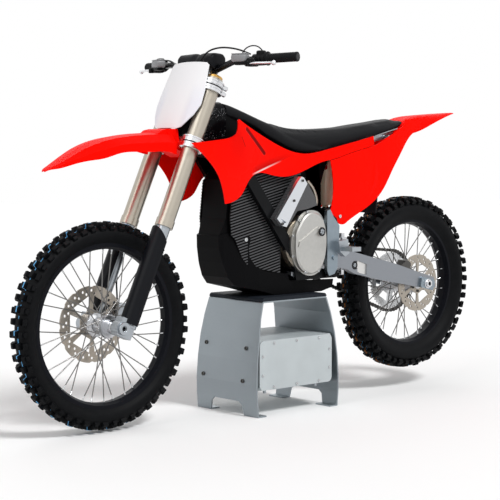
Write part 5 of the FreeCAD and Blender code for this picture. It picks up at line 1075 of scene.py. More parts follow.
# %% Pinch bolts
PINCH_SIDE = TUBE_SIDE + 0.026
PINCH_LEAD = -0.032
PINCH_HALF = 0.011
PINCH_HEAD = (0.0055, 0.006)
PINCH = [
    (0.0004, -PINCH_HALF), (0.0075, -PINCH_HALF), (0.0085, -0.0095), (0.0085, 0.0095), (0.0075, PINCH_HALF),
    (0.0004, PINCH_HALF),
]
pinch_heights = [clamp_height + step for clamp_height in (UPPER_CLAMP, LOWER_CLAMP)
                 for step in (PINCH_HALF, -PINCH_HALF)]
pinch_bosses = [spun(PINCH, fork_point(height, PINCH_SIDE, PINCH_LEAD), fork_forward, 20)
                for height in pinch_heights]
pinch_places = [(fork_point(height, PINCH_SIDE * side, PINCH_LEAD + PINCH_HALF), fork_forward)
                for height in pinch_heights for side in (1, -1)]
done(both_sides(*pinch_bosses), "pinch_bosses", milled_silver, "fork", 40)
bolts("pinch_bolts", pinch_places, PINCH_HEAD, dark_steel, "fork")

# %% Fork caps
CAP_HEIGHT = 0.9195
CAP = [
    (0.0003, 0.0), (0.0255, 0.0), (0.0262, 0.002), (0.0262, 0.008), (0.0245, 0.0105), (0.0150, 0.0110),
    (0.0145, 0.0140), (0.0130, 0.0150), (0.0003, 0.0150),
]
done(tube_rings(CAP, (CAP_HEIGHT,), 36), "fork_caps", gold_anodised, "fork", 30)

# %% [markdown]
# ## Folds in the bodywork
#
# The shroud is moulded with a sharp fold that runs up and back from its lower edge, and with one slanting
# groove below the seat. Both are shallow, so they are shaded rather than cut: the distance from a line
# across the side view drives the bump, and the depth of the groove drives a darker red, as painted shade.
# The colour also carries painted light at the fold: painted shade below it and a pale painted highlight
# along it. A short thin line near the groove is a painted shadow. Each line is given by its two ends, as
# shares of the wheelbase and the seat's height.

# %% Lines drawn on a side view


def along_line(x, z, first, second):
    """How far a surface point is from a line in the side view, and how far along it, from 0 to 1."""
    first, second = side_point(*first), side_point(*second)
    length = (second - first).length
    run = (second - first) / length
    from_x, from_z = x - first.x, z - first.z
    along = (from_x * run.x + from_z * run.z) / length
    beside = from_z * run.x - from_x * run.z
    return beside, along


def stroke(x, z, first, second, half_width):
    """1 on a line with rounded ends, and 0 away from it."""
    beside, along = along_line(x, z, first, second)
    length = (side_point(*second) - side_point(*first)).length
    past = (along - along.between(0.0, 1.0)) * length
    distance = (beside * beside + past * past).power(0.5)
    return distance.between(half_width, half_width * 0.72)


def moulded_red(finish, slow):
    """The red of the large panels, a little darker in patches."""
    return finish.mix(slow.patches(), (1.0, 0.004, 0.0005), (0.96, 0.003, 0.0005))


# %% Shroud finish
GROOVE = ((0.3640, 0.9960), (0.4210, 0.9150), 0.0085)
SHADOW_LINE = ((0.3405, 0.9695), (0.3500, 0.9380), 0.0016)
FOLD = ((0.3900, 0.8480), (0.5400, 0.9130))
FOLD_SHADE_WIDTH = 0.030
FOLD_HIGHLIGHT_HALF = 0.0028
FOLD_STEP = 0.006
FOLD_SHADE_RED = (0.34, 0.003, 0.003)
FOLD_HIGHLIGHT_RED = (0.88, 0.60, 0.58)
GROOVE_SHADE_RED = (0.22, 0.003, 0.003)

shroud_red = Finish("shroud red plastic", Specular_IOR_Level=0.03)
place = shroud_red.place()
x, y, z = shroud_red.parts(place)
slow = shroud_red.noise(place, 9.0)
groove = stroke(x, z, *GROOVE)
# A short thin line near the groove is darkened as a painted shadow, with no relief.
shadow_line = stroke(x, z, *SHADOW_LINE)
beside, along = along_line(x, z, *FOLD)
fold_start = along.between(-0.12, 0.02)
fold_fade = along.between(1.0, 0.35) * fold_start
fold_shade = beside.between(-FOLD_SHADE_WIDTH, 0.0) * (beside < 0.0) * fold_fade
fold_highlight = (beside.absolute() < FOLD_HIGHLIGHT_HALF) * along.between(0.62, 0.20) * fold_start
# Below the fold the red is darkened as painted shade, and along it a pale painted highlight is laid.
red = shroud_red.mix(fold_shade * 0.80, moulded_red(shroud_red, slow), FOLD_SHADE_RED)
red = shroud_red.mix(fold_highlight * 0.85, red, FOLD_HIGHLIGHT_RED)
# The groove is darkened as painted shade, and the thin line as a painted shadow.
red = shroud_red.mix(groove.larger(shadow_line * 0.6), red, GROOVE_SHADE_RED)
shroud_red.set("Base Color", red)
shroud_red.set("Roughness", slow * 0.08 + 0.24)
relief = shroud_red.noise(place, 26.0) * RIPPLE - groove + beside.between(-FOLD_STEP, FOLD_STEP) * fold_fade
shroud_red.bump(relief, 0.6, 0.004)

# %% [markdown]
# The side panel has one soft upright crease near its rear edge, darkened as painted shade, and a slot at
# its top, closed by a thin grey insert. The insert is a bent strip that follows two edges of the slot.

# %% Side panel finish
CREASE_TOP = (0.8142, 0.8900)
CREASE_BEND = (0.8075, 0.8160)
CREASE_FOOT = (0.7760, 0.7450)
CREASE_WIDTH = 0.012
CREASE_SHADE_RED = (0.5, 0.005, 0.003)

panel_red = Finish("side panel red plastic", Specular_IOR_Level=0.03)
place = panel_red.place()
x, y, z = panel_red.parts(place)
slow = panel_red.noise(place, 9.0)
beside, along = along_line(x, z, CREASE_BEND, CREASE_TOP)
upper = beside.absolute().between(CREASE_WIDTH, 0.0) * along.between(1.0, 0.5) * (along > 0.0)
beside, along = along_line(x, z, CREASE_FOOT, CREASE_BEND)
lower = beside.absolute().between(CREASE_WIDTH, 0.0) * along.between(0.0, 0.4) * (along < 1.0)
crease = upper.larger(lower)
# The crease is a darker red: painted shade.
panel_red.set("Base Color", panel_red.mix(crease * 0.25, moulded_red(panel_red, slow), CREASE_SHADE_RED))
panel_red.set("Roughness", slow * 0.08 + 0.24)
panel_red.bump(panel_red.noise(place, 26.0) * RIPPLE + crease * 0.5, 0.6, 0.003)

# %% Slot insert
SLOT_EDGE = [(0.8115, 0.9440), (0.8105, 0.9720), (0.8240, 0.9790), (0.8620, 0.9930), (0.9080, 1.0090)]
SLOT_SIDE = 0.085
INSERT_RADIUS = 0.0022


def outside_of(names, point):
    """The outermost y that any of some nodes has on a line that comes in from the left."""
    outermost = 0.0
    for name in names:
        hit, place, _, _ = nodes[name].ray_cast(Vector((point.x, 1.0, point.z)), -LEFT)
        if hit:
            outermost = max(outermost, place.y)
    return outermost


insert_line = [side_point(*shares) for shares in SLOT_EDGE]
for point in insert_line:
    point.y = max(outside_of(("side_panels", "shrouds"), point), SLOT_SIDE)
done(both_sides(wire(insert_line, INSERT_RADIUS)), "slot_inserts", grey_plastic, "chassis", 50)

# %% [markdown]
# ## The number plate and the tank cover
#
# The plate is a thin white sheet with a shallow fold down each side, tinted lavender along the folds as
# painted shade. The tank cover is glossy black with pale specks, like a carbon or forged finish under
# lacquer.

# %% Number plate finish
PLATE_FOLD_SIDE = 0.064
PLATE_FOLD_FOOT = 1.10
PLATE_FOLD_TOP = 1.175
PLATE_WHITE = (0.93, 0.935, 0.95)
PLATE_GREY = (0.89, 0.90, 0.93)
PLATE_SHADE = (0.72, 0.74, 0.88)

plate_white = Finish("number plate plastic", Specular_IOR_Level=0.35)
place = plate_white.place()
x, y, z = plate_white.parts(place)
slow = plate_white.noise(place, 6.0)
fold = (y.absolute() - PLATE_FOLD_SIDE).between(-0.010, 0.014) * z.between(PLATE_FOLD_TOP, PLATE_FOLD_FOOT)
white = plate_white.mix(slow.between(0.3, 0.7) * 0.35, PLATE_WHITE, PLATE_GREY)
plate_white.set("Base Color", plate_white.mix(fold * 0.35, white, PLATE_SHADE))
plate_white.set("Roughness", slow * 0.1 + 0.32)
plate_white.bump(slow * 0.2 + fold * 1.2, 0.5, 0.004)

# %% Tank cover finish
LACQUER_BLACK = (0.003, 0.003, 0.004)
SPECK_GREY = (0.42, 0.43, 0.45)

speckled = Finish("speckled black lacquer", Specular_IOR_Level=0.08)
place = speckled.place()
flakes = speckled.noise(place, 300.0, detail=1.0)
cloud = speckled.noise(place, 24.0)
specks = flakes.between(0.65, 0.69) * cloud.between(0.42, 0.58)
speckled.set("Base Color", speckled.mix(specks, LACQUER_BLACK, SPECK_GREY))
speckled.set("Roughness", cloud * 0.1 + 0.16)
speckled.bump(flakes, 0.12, 0.0004)

# %% [markdown]
# ## Inside the frame
#
# Behind the open places between the battery, the motor and the seat, the bike is black. Two plain blocks
# stand for what fills the frame there: the seat's base with the lid of the electronics, and the inner
# body above the motor. Each is an outline seen from the side, with a depth across the bike.

# %% Inner bodies
SEAT_BASE = [
    (0.322, 0.975), (0.322, 1.072), (0.350, 1.064), (0.378, 1.036), (0.423, 1.012), (0.473, 0.973),
    (0.524, 0.942), (0.574, 0.925), (0.640, 0.928), (0.640, 0.900), (0.574, 0.900), (0.534, 0.886),
    (0.378, 0.880), (0.345, 0.865),
]
SEAT_BASE_WIDTH = 0.0880
INNER_BODY = [
    (0.480, 0.690), (0.530, 0.835), (0.575, 0.868), (0.655, 0.890), (0.664, 0.800), (0.664, 0.520),
    (0.640, 0.455), (0.500, 0.440), (0.486, 0.520),
]
INNER_BODY_WIDTH = 0.0700
INNER_EDGE = 0.0040


def side_plate(outline, side, depth, edge=0.0):
    """A plate from an outline in shares. Its face is at a side offset, and its depth goes outwards."""
    return plate([side_point(*shares, side) for shares in outline], LEFT * depth, edge)


seat_base = side_plate(SEAT_BASE, -SEAT_BASE_WIDTH / 2, SEAT_BASE_WIDTH, INNER_EDGE)
inner_body = side_plate(INNER_BODY, -INNER_BODY_WIDTH / 2, INNER_BODY_WIDTH, INNER_EDGE)
done(joined(seat_base, inner_body), "inner_bodies", case_plastic, "chassis", 30)

# %% [markdown]
# ## The fender's inner wall
#
# Through the notch between the seat and the side panel, the red inner wall of the fender shows behind the
# subframe's pale rail. A bolt head marks the shock's upper end.

# %% Inner wall and shock bolt
INNER_WALL = [
    (0.803, 0.968), (0.838, 0.990), (0.915, 1.006), (0.925, 1.000), (0.905, 0.955), (0.872, 0.930),
    (0.803, 0.926),
]
INNER_WALL_SIDE = 0.0400
INNER_WALL_THICKNESS = 0.0030
SHOCK_BOLT = (0.6800, 0.8640, 0.0270)
SHOCK_HEAD = (0.0110, 0.008)
inner_walls = both_sides(side_plate(INNER_WALL, INNER_WALL_SIDE, INNER_WALL_THICKNESS))
done(inner_walls, "fender_inner_walls", red_plastic, "chassis", 30)
bolts("shock_bolt", [(side_point(*SHOCK_BOLT), LEFT)], SHOCK_HEAD, steel, "chassis")

# %% [markdown]
# ## Battery, inverter and motor
#
# The battery's cooling ribs rise towards the rear. Their faces are pale grey on the black case, as a
# painted highlight. One long rib is copied over the whole face and trimmed to the face's outline. The
# inverter is cast in one piece: its raised bar is bare metal, and its lower body is darkened as painted
# shade, with fine ribs whose crests are lighter as a painted highlight.

# %% Battery ribs
RIB_FIELD = [
    (0.331, 0.690), (0.341, 0.816), (0.380, 0.885), (0.558, 0.885), (0.560, 0.833), (0.526, 0.731),
    (0.496, 0.660), (0.493, 0.631), (0.491, 0.490), (0.432, 0.507), (0.386, 0.522), (0.368, 0.552),
    (0.345, 0.619), (0.334, 0.631),
]
FIELD_MIDDLE = (0.440, 0.690)
FIELD_FOOT = 0.0779
FIELD_FACE = 0.0833
FIELD_THICKNESS = FIELD_FACE - FIELD_FOOT
BATTERY_RIB_FACE = 0.0858
BATTERY_RIB_MIDDLE = FIELD_FACE + 0.0009
BATTERY_RIB_SIZE = (0.52, 2 * (BATTERY_RIB_FACE - BATTERY_RIB_MIDDLE), 0.0042)
BATTERY_RIB_EDGE = 0.0008
BATTERY_RIB_RISE = math.radians(13)
BATTERY_RIB_GAP = 0.0100
RIBS_EACH_WAY = 26
TRIM_SINK = 0.001
TRIM_DEPTH = 0.01

battery_face = both_sides(side_plate(RIB_FIELD, FIELD_FOOT, FIELD_THICKNESS))
done(battery_face, "battery_face", case_plastic, "chassis", 30)
trim = side_plate(RIB_FIELD, FIELD_FACE - TRIM_SINK, TRIM_DEPTH)
rib = block((0, BATTERY_RIB_MIDDLE, 0), BATTERY_RIB_SIZE, BATTERY_RIB_EDGE)
tilt = Matrix.Translation(side_point(*FIELD_MIDDLE)) @ Matrix.Rotation(BATTERY_RIB_RISE, 4, "Y")
battery_ribs = copies(rib, [tilt @ Matrix.Translation(UP * i * BATTERY_RIB_GAP)
                            for i in range(-RIBS_EACH_WAY, RIBS_EACH_WAY + 1)])
modify(battery_ribs, "BOOLEAN", operation="INTERSECT", object=trim, solver="EXACT")
bpy.data.objects.remove(trim)
# The ribs are pale grey against the black backing: a painted highlight on their faces.
rib_highlight_grey = plastic("rib faces painted as highlight", (0.075, 0.076, 0.080), 0.5, grain=0.05, shine=0.3)
done(both_sides(battery_ribs), "battery_ribs", rib_highlight_grey, "chassis", 40)

# %% Inverter finish
INVERTER_FACE = 0.1312
THIN_RIB_PITCH = 0.0042
INVERTER_BARE = (0.66, 0.68, 0.71)
INVERTER_SHADE = (0.030, 0.031, 0.033)
INVERTER_RIB_HIGHLIGHT = (0.12, 0.12, 0.125)

inverter = Finish("inverter casting")
place = inverter.place()
x, y, z = inverter.parts(place)
cloud = inverter.noise(place, 50.0)
speck = inverter.noise(place, 1200.0, detail=2.0)
bare = (y > INVERTER_FACE)
thin_ribs = (x * (math.tau / THIN_RIB_PITCH)).sine()
# The lower body is darkened as painted shade, and the crests of its fine ribs are lighter as a painted
# highlight.
painted = inverter.mix(thin_ribs.between(0.0, 1.0), INVERTER_SHADE, INVERTER_RIB_HIGHLIGHT)
inverter.set("Base Color", inverter.mix(bare, painted, INVERTER_BARE))
inverter.set("Metallic", bare)
inverter.set("Roughness", cloud * 0.12 + 0.30)
inverter.bump(speck * 0.3 + thin_ribs * 0.3 * (1.0 - bare), 0.4, 0.0006)

# %% [markdown]
# The cover over the motor is sand cast, so its skin is finely pitted. A black cap with a cross-shaped
# key sits high on it. A bent rod in the fork tubes' colour closes the rear edge of the inverter.

# %% Motor pieces
MOTOR_CAP = (0.5930, 0.6340)
MOTOR_CAP_RADIUS = 0.0165
MOTOR_CAP_OUTLINE = [
    (0.0003, 0.0), (MOTOR_CAP_RADIUS, 0.0), (MOTOR_CAP_RADIUS, 0.0030), (MOTOR_CAP_RADIUS - 0.0012, 0.0042),
    (MOTOR_CAP_RADIUS - 0.0030, 0.0042), (MOTOR_CAP_RADIUS - 0.0042, 0.0026), (0.0003, 0.0026),
]
MOTOR_CAP_SINK = 0.0002
MOTOR_KEY_STAND = 0.003
MOTOR_KEY = ((0.021, 0.0032, 0.0055), 0.0010, 20)


def key_cross(place, size, edge, first_turn):
    """A key of three crossed bars, evenly spaced from the turn of the first, in degrees."""
    bar = block(place, size, edge)
    return copies(bar, [about(place, math.radians(first_turn + step)) for step in (0, 60, 120)])


sand_cast = metal("sand cast cover", (0.50, 0.495, 0.475), 0.44, mottle=0.05, scale=90.0, grain=0.10)
drum_metal = metal("motor drum metal", (0.44, 0.40, 0.34), 0.36, mottle=0.05)
cap_place, _ = from_side("motor_cover", MOTOR_CAP)
motor_cap = spun(MOTOR_CAP_OUTLINE, cap_place - LEFT * MOTOR_CAP_SINK, LEFT, 36)
done(motor_cap, "motor_cap", black_anodised, "chassis", 30)
motor_key = key_cross(cap_place + LEFT * MOTOR_KEY_STAND, *MOTOR_KEY)
done(motor_key, "motor_cap_key", satin_silver, "chassis", 30)

# %% Inverter edge
EDGE_ARC = [(0.597, 0.815), (0.613, 0.798), (0.625, 0.771), (0.632, 0.739), (0.628, 0.726)]
EDGE_ARC_SIDE = 0.060
EDGE_ARC_RADIUS = 0.0065
arc = wire([side_point(*shares, EDGE_ARC_SIDE) for shares in EDGE_ARC], EDGE_ARC_RADIUS, 4)
done(arc, "inverter_edge", champagne, "chassis", 60)

# %% [markdown]
# ## The swingarm
#
# The arm is a forging, satin on its long faces and bright where it was machined: on the floor of its
# pocket. A black cap closes the pivot of the shock's link. The rear axle is hollow, so its nuts and the
# boss at the foot of the fork are open rings, with the axle's bore seen through them.

# %% Swingarm finish
POCKET_FLOOR = 0.113
POCKET_FLOOR_HALF = 0.0008
BRUSHING = math.radians(-14)
SATIN_LIGHT = (0.28, 0.295, 0.32)
SATIN_DARK = (0.21, 0.225, 0.25)
MACHINED = (0.66, 0.655, 0.64)

arm_metal = Finish("swingarm metal", Metallic=1.0)
place = arm_metal.place()
lines = arm_metal.noise(arm_metal.mapped((0.06, 1.0, 1.0), (0, BRUSHING, 0)), 700.0, detail=4.0)
cloud = arm_metal.noise(place, 20.0)
x, y, z = arm_metal.parts(place)
machined = ((y.absolute() - POCKET_FLOOR).absolute() < POCKET_FLOOR_HALF)
satin = arm_metal.mix(lines * 0.35, SATIN_LIGHT, SATIN_DARK)
arm_metal.set("Base Color", arm_metal.mix(machined, satin, MACHINED))
arm_metal.set("Roughness", lines * 0.10 + cloud * 0.10 + 0.28)
arm_metal.bump(lines, 0.15, 0.0002)

# %% Caps of the swingarm
ARM_PIVOT = (0.6419, 0.5369)
ARM_CAP = (0.246, -0.008)
ARM_CAP_OUTLINE = [
    (0.0003, 0.0), (0.0160, 0.0), (0.0160, 0.0030), (0.0148, 0.0042), (0.0110, 0.0042), (0.0100, 0.0030),
    (0.0003, 0.0030),
]
ARM_KEY_STAND = 0.0034
ARM_KEY = ((0.015, 0.003, 0.004), 0.0008, 0)
arm_start = side_point(*ARM_PIVOT)
arm_run = Vector((rear_axle.x - arm_start.x, 0, rear_axle.z - arm_start.z))
arm_up = Vector((arm_run.z, 0, -arm_run.x))


def arm_place(along, above, side=0.0):
    """A point by its shares along and above the arm."""
    return arm_start + arm_run * along + arm_up * above + LEFT * side


arm_cap_place, _ = seen_from("swingarm", arm_place(*ARM_CAP), -LEFT)
arm_caps = both_sides(spun(ARM_CAP_OUTLINE, arm_cap_place, LEFT, 32))
done(arm_caps, "arm_caps", black_anodised, "chassis", 30)
arm_key = key_cross(arm_cap_place + LEFT * ARM_KEY_STAND, *ARM_KEY)
done(both_sides(arm_key), "arm_cap_keys", satin_silver, "chassis", 30)

# %% Axle nuts
AXLE_BORE = 0.0082
NUT_RADIUS = 0.0165
NUT_HEIGHT = 0.0100
NUT_LOOK_AHEAD = 0.016
COLLAR_RADIUS_SHARE = 1.15
COLLAR_HEIGHT_SHARE = 0.25


def nut(place, out, radius, height, bore):
    """A hexagonal nut with softened corners, a round shoulder and an open bore."""
    piece = start("cylinder", vertices=6, radius=radius, depth=height, location=(0, 0, height / 2))
    rounded(piece, radius * 0.08, 2, 40)
    collar_height = height * COLLAR_HEIGHT_SHARE
    collar = start("cylinder", vertices=28, radius=radius * COLLAR_RADIUS_SHARE, depth=collar_height,
                   location=(0, 0, collar_height / 2))
    rounded(collar, radius * 0.05, 2, 40)
    drill = start("cylinder", vertices=28, radius=bore, depth=height * 4)
    for part in (piece, collar):
        modify(part, "BOOLEAN", operation="DIFFERENCE", object=drill, solver="EXACT")
    bpy.data.objects.remove(drill)
    whole = joined(piece, collar)
    whole.data.transform(facing(place, out))
    return whole


def axle_end(node, axle, look_ahead, side):
    """The place on an axle's line where a node's outer face is, seen a little ahead of its bore."""
    face, _ = seen_from(node, axle + AHEAD * look_ahead, LEFT * -side)
    return Vector((axle.x, face.y, axle.z))


nuts = [nut(axle_end("axle_blocks", rear_axle, NUT_LOOK_AHEAD, side), LEFT * side, NUT_RADIUS, NUT_HEIGHT,
            AXLE_BORE) for side in (1, -1)]
done(joined(*nuts), "axle_nuts", milled_silver, "chassis", 35)

# %% Axle boss
BOSS_LOOK_AHEAD = 0.021
BOSS = [
    (0.0092, -0.0060), (0.0215, -0.0060), (0.0220, 0.0060), (0.0208, 0.0080), (0.0110, 0.0080),
    (0.0092, 0.0062),
]
BORE_SHADE = [(AXLE_BORE, -0.0060), (0.0095, -0.0060), (0.0095, 0.0010), (AXLE_BORE, 0.0010)]
boss_place = axle_end("fork_legs", front_axle, BOSS_LOOK_AHEAD, 1)
done(spun(BOSS, boss_place, LEFT, 36), "axle_boss", satin_silver, "fork", 35)
# A black sleeve inside the boss's bore is painted shade, not a part.
done(spun(BORE_SHADE, boss_place, LEFT, 24), "bore_shade_sleeve", matt_black, "fork", 35)

# %% Chain adjusters
ADJUSTER_AT = (1.085, 0.022, 0.1045)
ADJUSTER_LENGTH = 0.034
ADJUSTER_RADIUS = 0.0040
ADJUSTER_HEAD_RADIUS = 0.0072
ADJUSTER_HEAD_HEIGHT = 0.006
ADJUSTER_HEAD_AT = 0.014
ADJUSTER_EDGE = 0.0006
screw = start("cylinder", vertices=24, radius=ADJUSTER_RADIUS, depth=ADJUSTER_LENGTH)
rounded(screw, ADJUSTER_EDGE, 1, 40)
screw_head = start("cylinder", vertices=6, radius=ADJUSTER_HEAD_RADIUS, depth=ADJUSTER_HEAD_HEIGHT,
                   location=(0, 0, ADJUSTER_HEAD_AT))
rounded(screw_head, ADJUSTER_EDGE, 2, 40)
adjuster = joined(screw, screw_head)
adjuster.data.transform(facing(arm_place(*ADJUSTER_AT), arm_run.normalized()))
done(both_sides(adjuster), "chain_adjusters", steel, "chassis", 40)

# %% [markdown]
# ## The brake rod behind the pivot plate
#
# Behind the left pivot plate stands a short cylinder with a threaded rod below it. Both are silver. The
# thread is a row of small rings along the rod. A clevis holds its foot, and a bracket and a port its top.

# %% Brake rod
ROD_SIDE = 0.111
ROD_TOP = (0.6860, 0.6230, ROD_SIDE)
ROD_FOOT = (0.6850, 0.4750, ROD_SIDE)
CYLINDER_OUTLINE = [
    (0.0002, 0.0), (0.0080, 0.0), (0.0100, 0.0020), (0.0100, 0.0560), (0.0085, 0.0580), (0.0085, 0.0760),
    (0.0060, 0.0790), (0.0002, 0.0790),
]
ROD_START = 0.076
THREAD_START = 0.078
THREAD_PITCH = 0.0035
THREAD_RISE = 0.0015
THREAD_VALLEY = 0.0036
THREAD_CREST = 0.0048
ROD_END_RADIUS = 0.0062
ROD_END_LENGTH = 0.008
ROD_BARE = 0.082
CLEVIS = ((0, 0, 0.004), (0.014, 0.016, 0.018))
BRACKET = ((0.012, -0.004, -0.028), (0.030, 0.014, 0.022))
PORT = ((-0.013, 0.0, -0.022), (0.018, 0.012, 0.014))
ROD_BLOCK_EDGE = 0.003
rod_top = side_point(*ROD_TOP)
rod_foot = side_point(*ROD_FOOT)
rod_length = (rod_foot - rod_top).length
rod_run = (rod_foot - rod_top).normalized()
rod_outline = [(0.0002, ROD_START)]
for i in range(int((rod_length - ROD_BARE) / THREAD_PITCH)):
    ring = THREAD_START + i * THREAD_PITCH
    rod_outline += [(THREAD_VALLEY, ring), (THREAD_CREST, ring + THREAD_RISE)]
rod_outline += [(ROD_END_RADIUS, rod_length - ROD_END_LENGTH), (ROD_END_RADIUS, rod_length)]
rod_outline.append((0.0002, rod_length))
cylinder = spun(CYLINDER_OUTLINE, rod_top, rod_run, 28)
rod = spun(rod_outline, rod_top, rod_run, 20)
fittings = [block(end + Vector(offset), size, ROD_BLOCK_EDGE)
            for end, (offset, size) in ((rod_foot, CLEVIS), (rod_top, BRACKET), (rod_top, PORT))]
done(joined(cylinder, rod, *fittings), "brake_rod", cast_silver, "chassis", 40)

# %% Bolts low on the beam
BEAM_BOLTS = [(0.4932, 0.5961), (0.4980, 0.5823)]
BEAM_BOLT_SIDE = 0.0915
BEAM_HEAD = (0.0075, 0.006)
beam_places = [(side_point(*shares, BEAM_BOLT_SIDE), LEFT) for shares in BEAM_BOLTS]
bolts("beam_bolts", beam_places, BEAM_HEAD, steel, "chassis")

# %% [markdown]
# ## Spokes, nipples and hubs
#
# A laced wheel has 36 spokes. Each ends at the rim in a small turned nut, the nipple, which shows as a
# bright dot against the black rim. The hubs are silver and the spokes are darker steel: one finish does
# both, by the distance from the axle.

# %% Hub finishes
HUB_SILVER = (0.58, 0.59, 0.61)
SPOKE_STEEL = (0.20, 0.195, 0.19)
FRONT_FLANGE_RADIUS = 0.042
REAR_FLANGE_RADIUS = 0.046


def laced(name, axle, flange_radius):
    """Silver inside the flange radius, and spoke steel outside it."""
    made = Finish(name, Metallic=1.0)
    place = made.place()
    x, y, z = made.parts(place)
    dx, dz = x - axle.x, z - axle.z
    radius = (dx * dx + dz * dz).power(0.5)
    cloud = made.noise(place, 60.0)
    made.set("Base Color", made.mix(radius > flange_radius, HUB_SILVER, SPOKE_STEEL))
    made.set("Roughness", cloud * 0.12 + 0.24)
    made.bump(cloud, 0.2, 0.0004)
    return made


front_hub_finish = laced("front hub and spokes", front_axle, FRONT_FLANGE_RADIUS)
rear_hub_finish = laced("rear hub and spokes", rear_axle, REAR_FLANGE_RADIUS)

# %% Nipples
NIPPLE = [
    (0.0004, 0.0), (0.0034, 0.0), (0.0034, 0.0045), (0.0026, 0.0060), (0.0026, 0.0150), (0.0021, 0.0162),
    (0.0004, 0.0162),
]
SPOKES = 36
SPOKE_SWEEP = math.radians(52)
FRONT_LACING = (0.256, 0.005, 0.036, 0.033)
REAR_LACING = (0.231, 0.0064, 0.0396, 0.031)


def wheel_point(axle, radius, angle, side):
    """A point beside a wheel's middle, by its radius and its angle round the axle."""
    return axle + Vector((radius * math.cos(angle), side, radius * math.sin(angle)))


def nipples(name, axle, lacing, body):
    """A turned nut at the rim end of each spoke. Lacing is the radius and side of its end and its foot."""
    end_radius, end_side, foot_radius, foot_side = lacing
    moves = []
    for i in range(SPOKES):
        side = 1 if i % 2 else -1
        lean = SPOKE_SWEEP * (1 if (i // 2) % 2 else -1)
        angle = math.tau * i / SPOKES
        foot = wheel_point(axle, foot_radius, angle + lean, side * foot_side)
        end = wheel_point(axle, end_radius, angle, side * end_side)
        moves.append(facing(end, foot - end))
    return done(copies(spun(NIPPLE, (0, 0, 0), UP, 10), moves), name, steel, body, 40)


nipples("front_nipples", front_axle, FRONT_LACING, "front_wheel")
nipples("rear_nipples", rear_axle, REAR_LACING, "rear_wheel")

# %% [markdown]
# Six bolts hold each disc to its hub. The front disc is on the right, and the rear one on the left.

# %% Disc bolts
DISC_BOLTS = 6
DISC_HEAD = (0.0052, 0.0045)
FRONT_DISC = (0.029, -0.0645, -1)
REAR_DISC = (0.033, 0.0745, 1)


def disc_bolts(name, axle, disc, body):
    """Bolt heads on a disc, which is the radius of its ring of bolts, its face and its way out."""
    ring, face, out = disc
    places = [(wheel_point(axle, ring, math.tau * (i + 0.5) / DISC_BOLTS, face), LEFT * out)
              for i in range(DISC_BOLTS)]
    return bolts(name, places, DISC_HEAD, dark_steel, body)


disc_bolts("front_disc_bolts", front_axle, FRONT_DISC, "front_wheel")
disc_bolts("rear_disc_bolts", rear_axle, REAR_DISC, "rear_wheel")

# %% [markdown]
# ## The drive chain
#
# A roller chain alternates inner and outer links. Each is modelled once, from a plate with two round
# lobes, and copied along the closed line that runs round both sprockets.

# %% Chain line
DRIVE_SHAFT = side_point(0.5865, 0.5517)
PITCH = 0.015875
CHAIN_SIDE = -0.076
REAR_TEETH = 48
DRIVE_TEETH = 14
rear_pitch_radius = PITCH / (2 * math.sin(math.pi / REAR_TEETH))
drive_pitch_radius = PITCH / (2 * math.sin(math.pi / DRIVE_TEETH))


def chain_joints():
    """Evenly spaced joints round both sprockets: an arc, a straight run, an arc and a straight run."""
    gap = DRIVE_SHAFT - rear_axle
    distance = math.hypot(gap.x, gap.z)
    heading = math.atan2(gap.z, gap.x)
    spread = math.acos((rear_pitch_radius - drive_pitch_radius) / distance)
    straight = math.sqrt(distance ** 2 - (rear_pitch_radius - drive_pitch_radius) ** 2)

    def on_rear(angle):
        return wheel_point(rear_axle, rear_pitch_radius, angle, CHAIN_SIDE)

    def on_drive(angle):
        return wheel_point(DRIVE_SHAFT, drive_pitch_radius, angle, CHAIN_SIDE)

    top, low = heading + spread, heading - spread
    rear_arc = (math.tau - 2 * spread) * rear_pitch_radius
    drive_arc = 2 * spread * drive_pitch_radius
    stretches = [
        (rear_arc, lambda share: on_rear(top + share * (math.tau - 2 * spread))),
        (straight, lambda share: on_rear(low).lerp(on_drive(low), share)),
        (drive_arc, lambda share: on_drive(low + share * 2 * spread)),
        (straight, lambda share: on_drive(top).lerp(on_rear(top), share)),
    ]
    total = rear_arc + drive_arc + 2 * straight
    count = 2 * round(total / PITCH / 2)
    joints = []
    for i in range(count):
        along = total * i / count
        for length, point_at in stretches:
            if along < length:
                break
            along -= length
        joints.append(point_at(along / length))
    return joints


# %% Chain links
LINK_THICKNESS = 0.0020
LINK_EDGE = 0.0004
LOBE = 0.0066
WAIST = 0.0046
ROLLER_LENGTH = 0.0084
ROLLER_RADIUS = 0.0050
PIN_LENGTH = 0.0190
PIN_RADIUS = 0.0026
INNER_LINK_SIDE = 0.0042
OUTER_LINK_SIDE = 0.0064


def link_plate(side):
    """A plate with two lobes, one joint at the origin and the next at one pitch along X."""
    outline = []
    ends = [(0, (90, 130, 180, 230, 270), -WAIST), (PITCH, (-90, -50, 0, 50, 90), WAIST)]
    for centre, turns, waist in ends:
        for turn in turns:
            angle = math.radians(turn)
            outline.append(Vector((centre + LOBE * math.cos(angle), side, LOBE * math.sin(angle))))
        outline.append(Vector((PITCH / 2, side, waist)))
    return plate(outline, LEFT * LINK_THICKNESS, LINK_EDGE, 1)


def link(side, pin_length, pin_radius):
    """Two plates at equal distances from the chain's middle, and a turned pin or roller at each joint."""
    half = pin_length / 2
    outline = [(0.0002, -half), (pin_radius, -half), (pin_radius, half), (0.0002, half)]
    pin = spun(outline, (0, 0, 0), LEFT, 12)
    pins = copies(pin, [Matrix(), Matrix.Translation(AHEAD * PITCH)])
    return joined(link_plate(side), link_plate(-side - LINK_THICKNESS), pins)


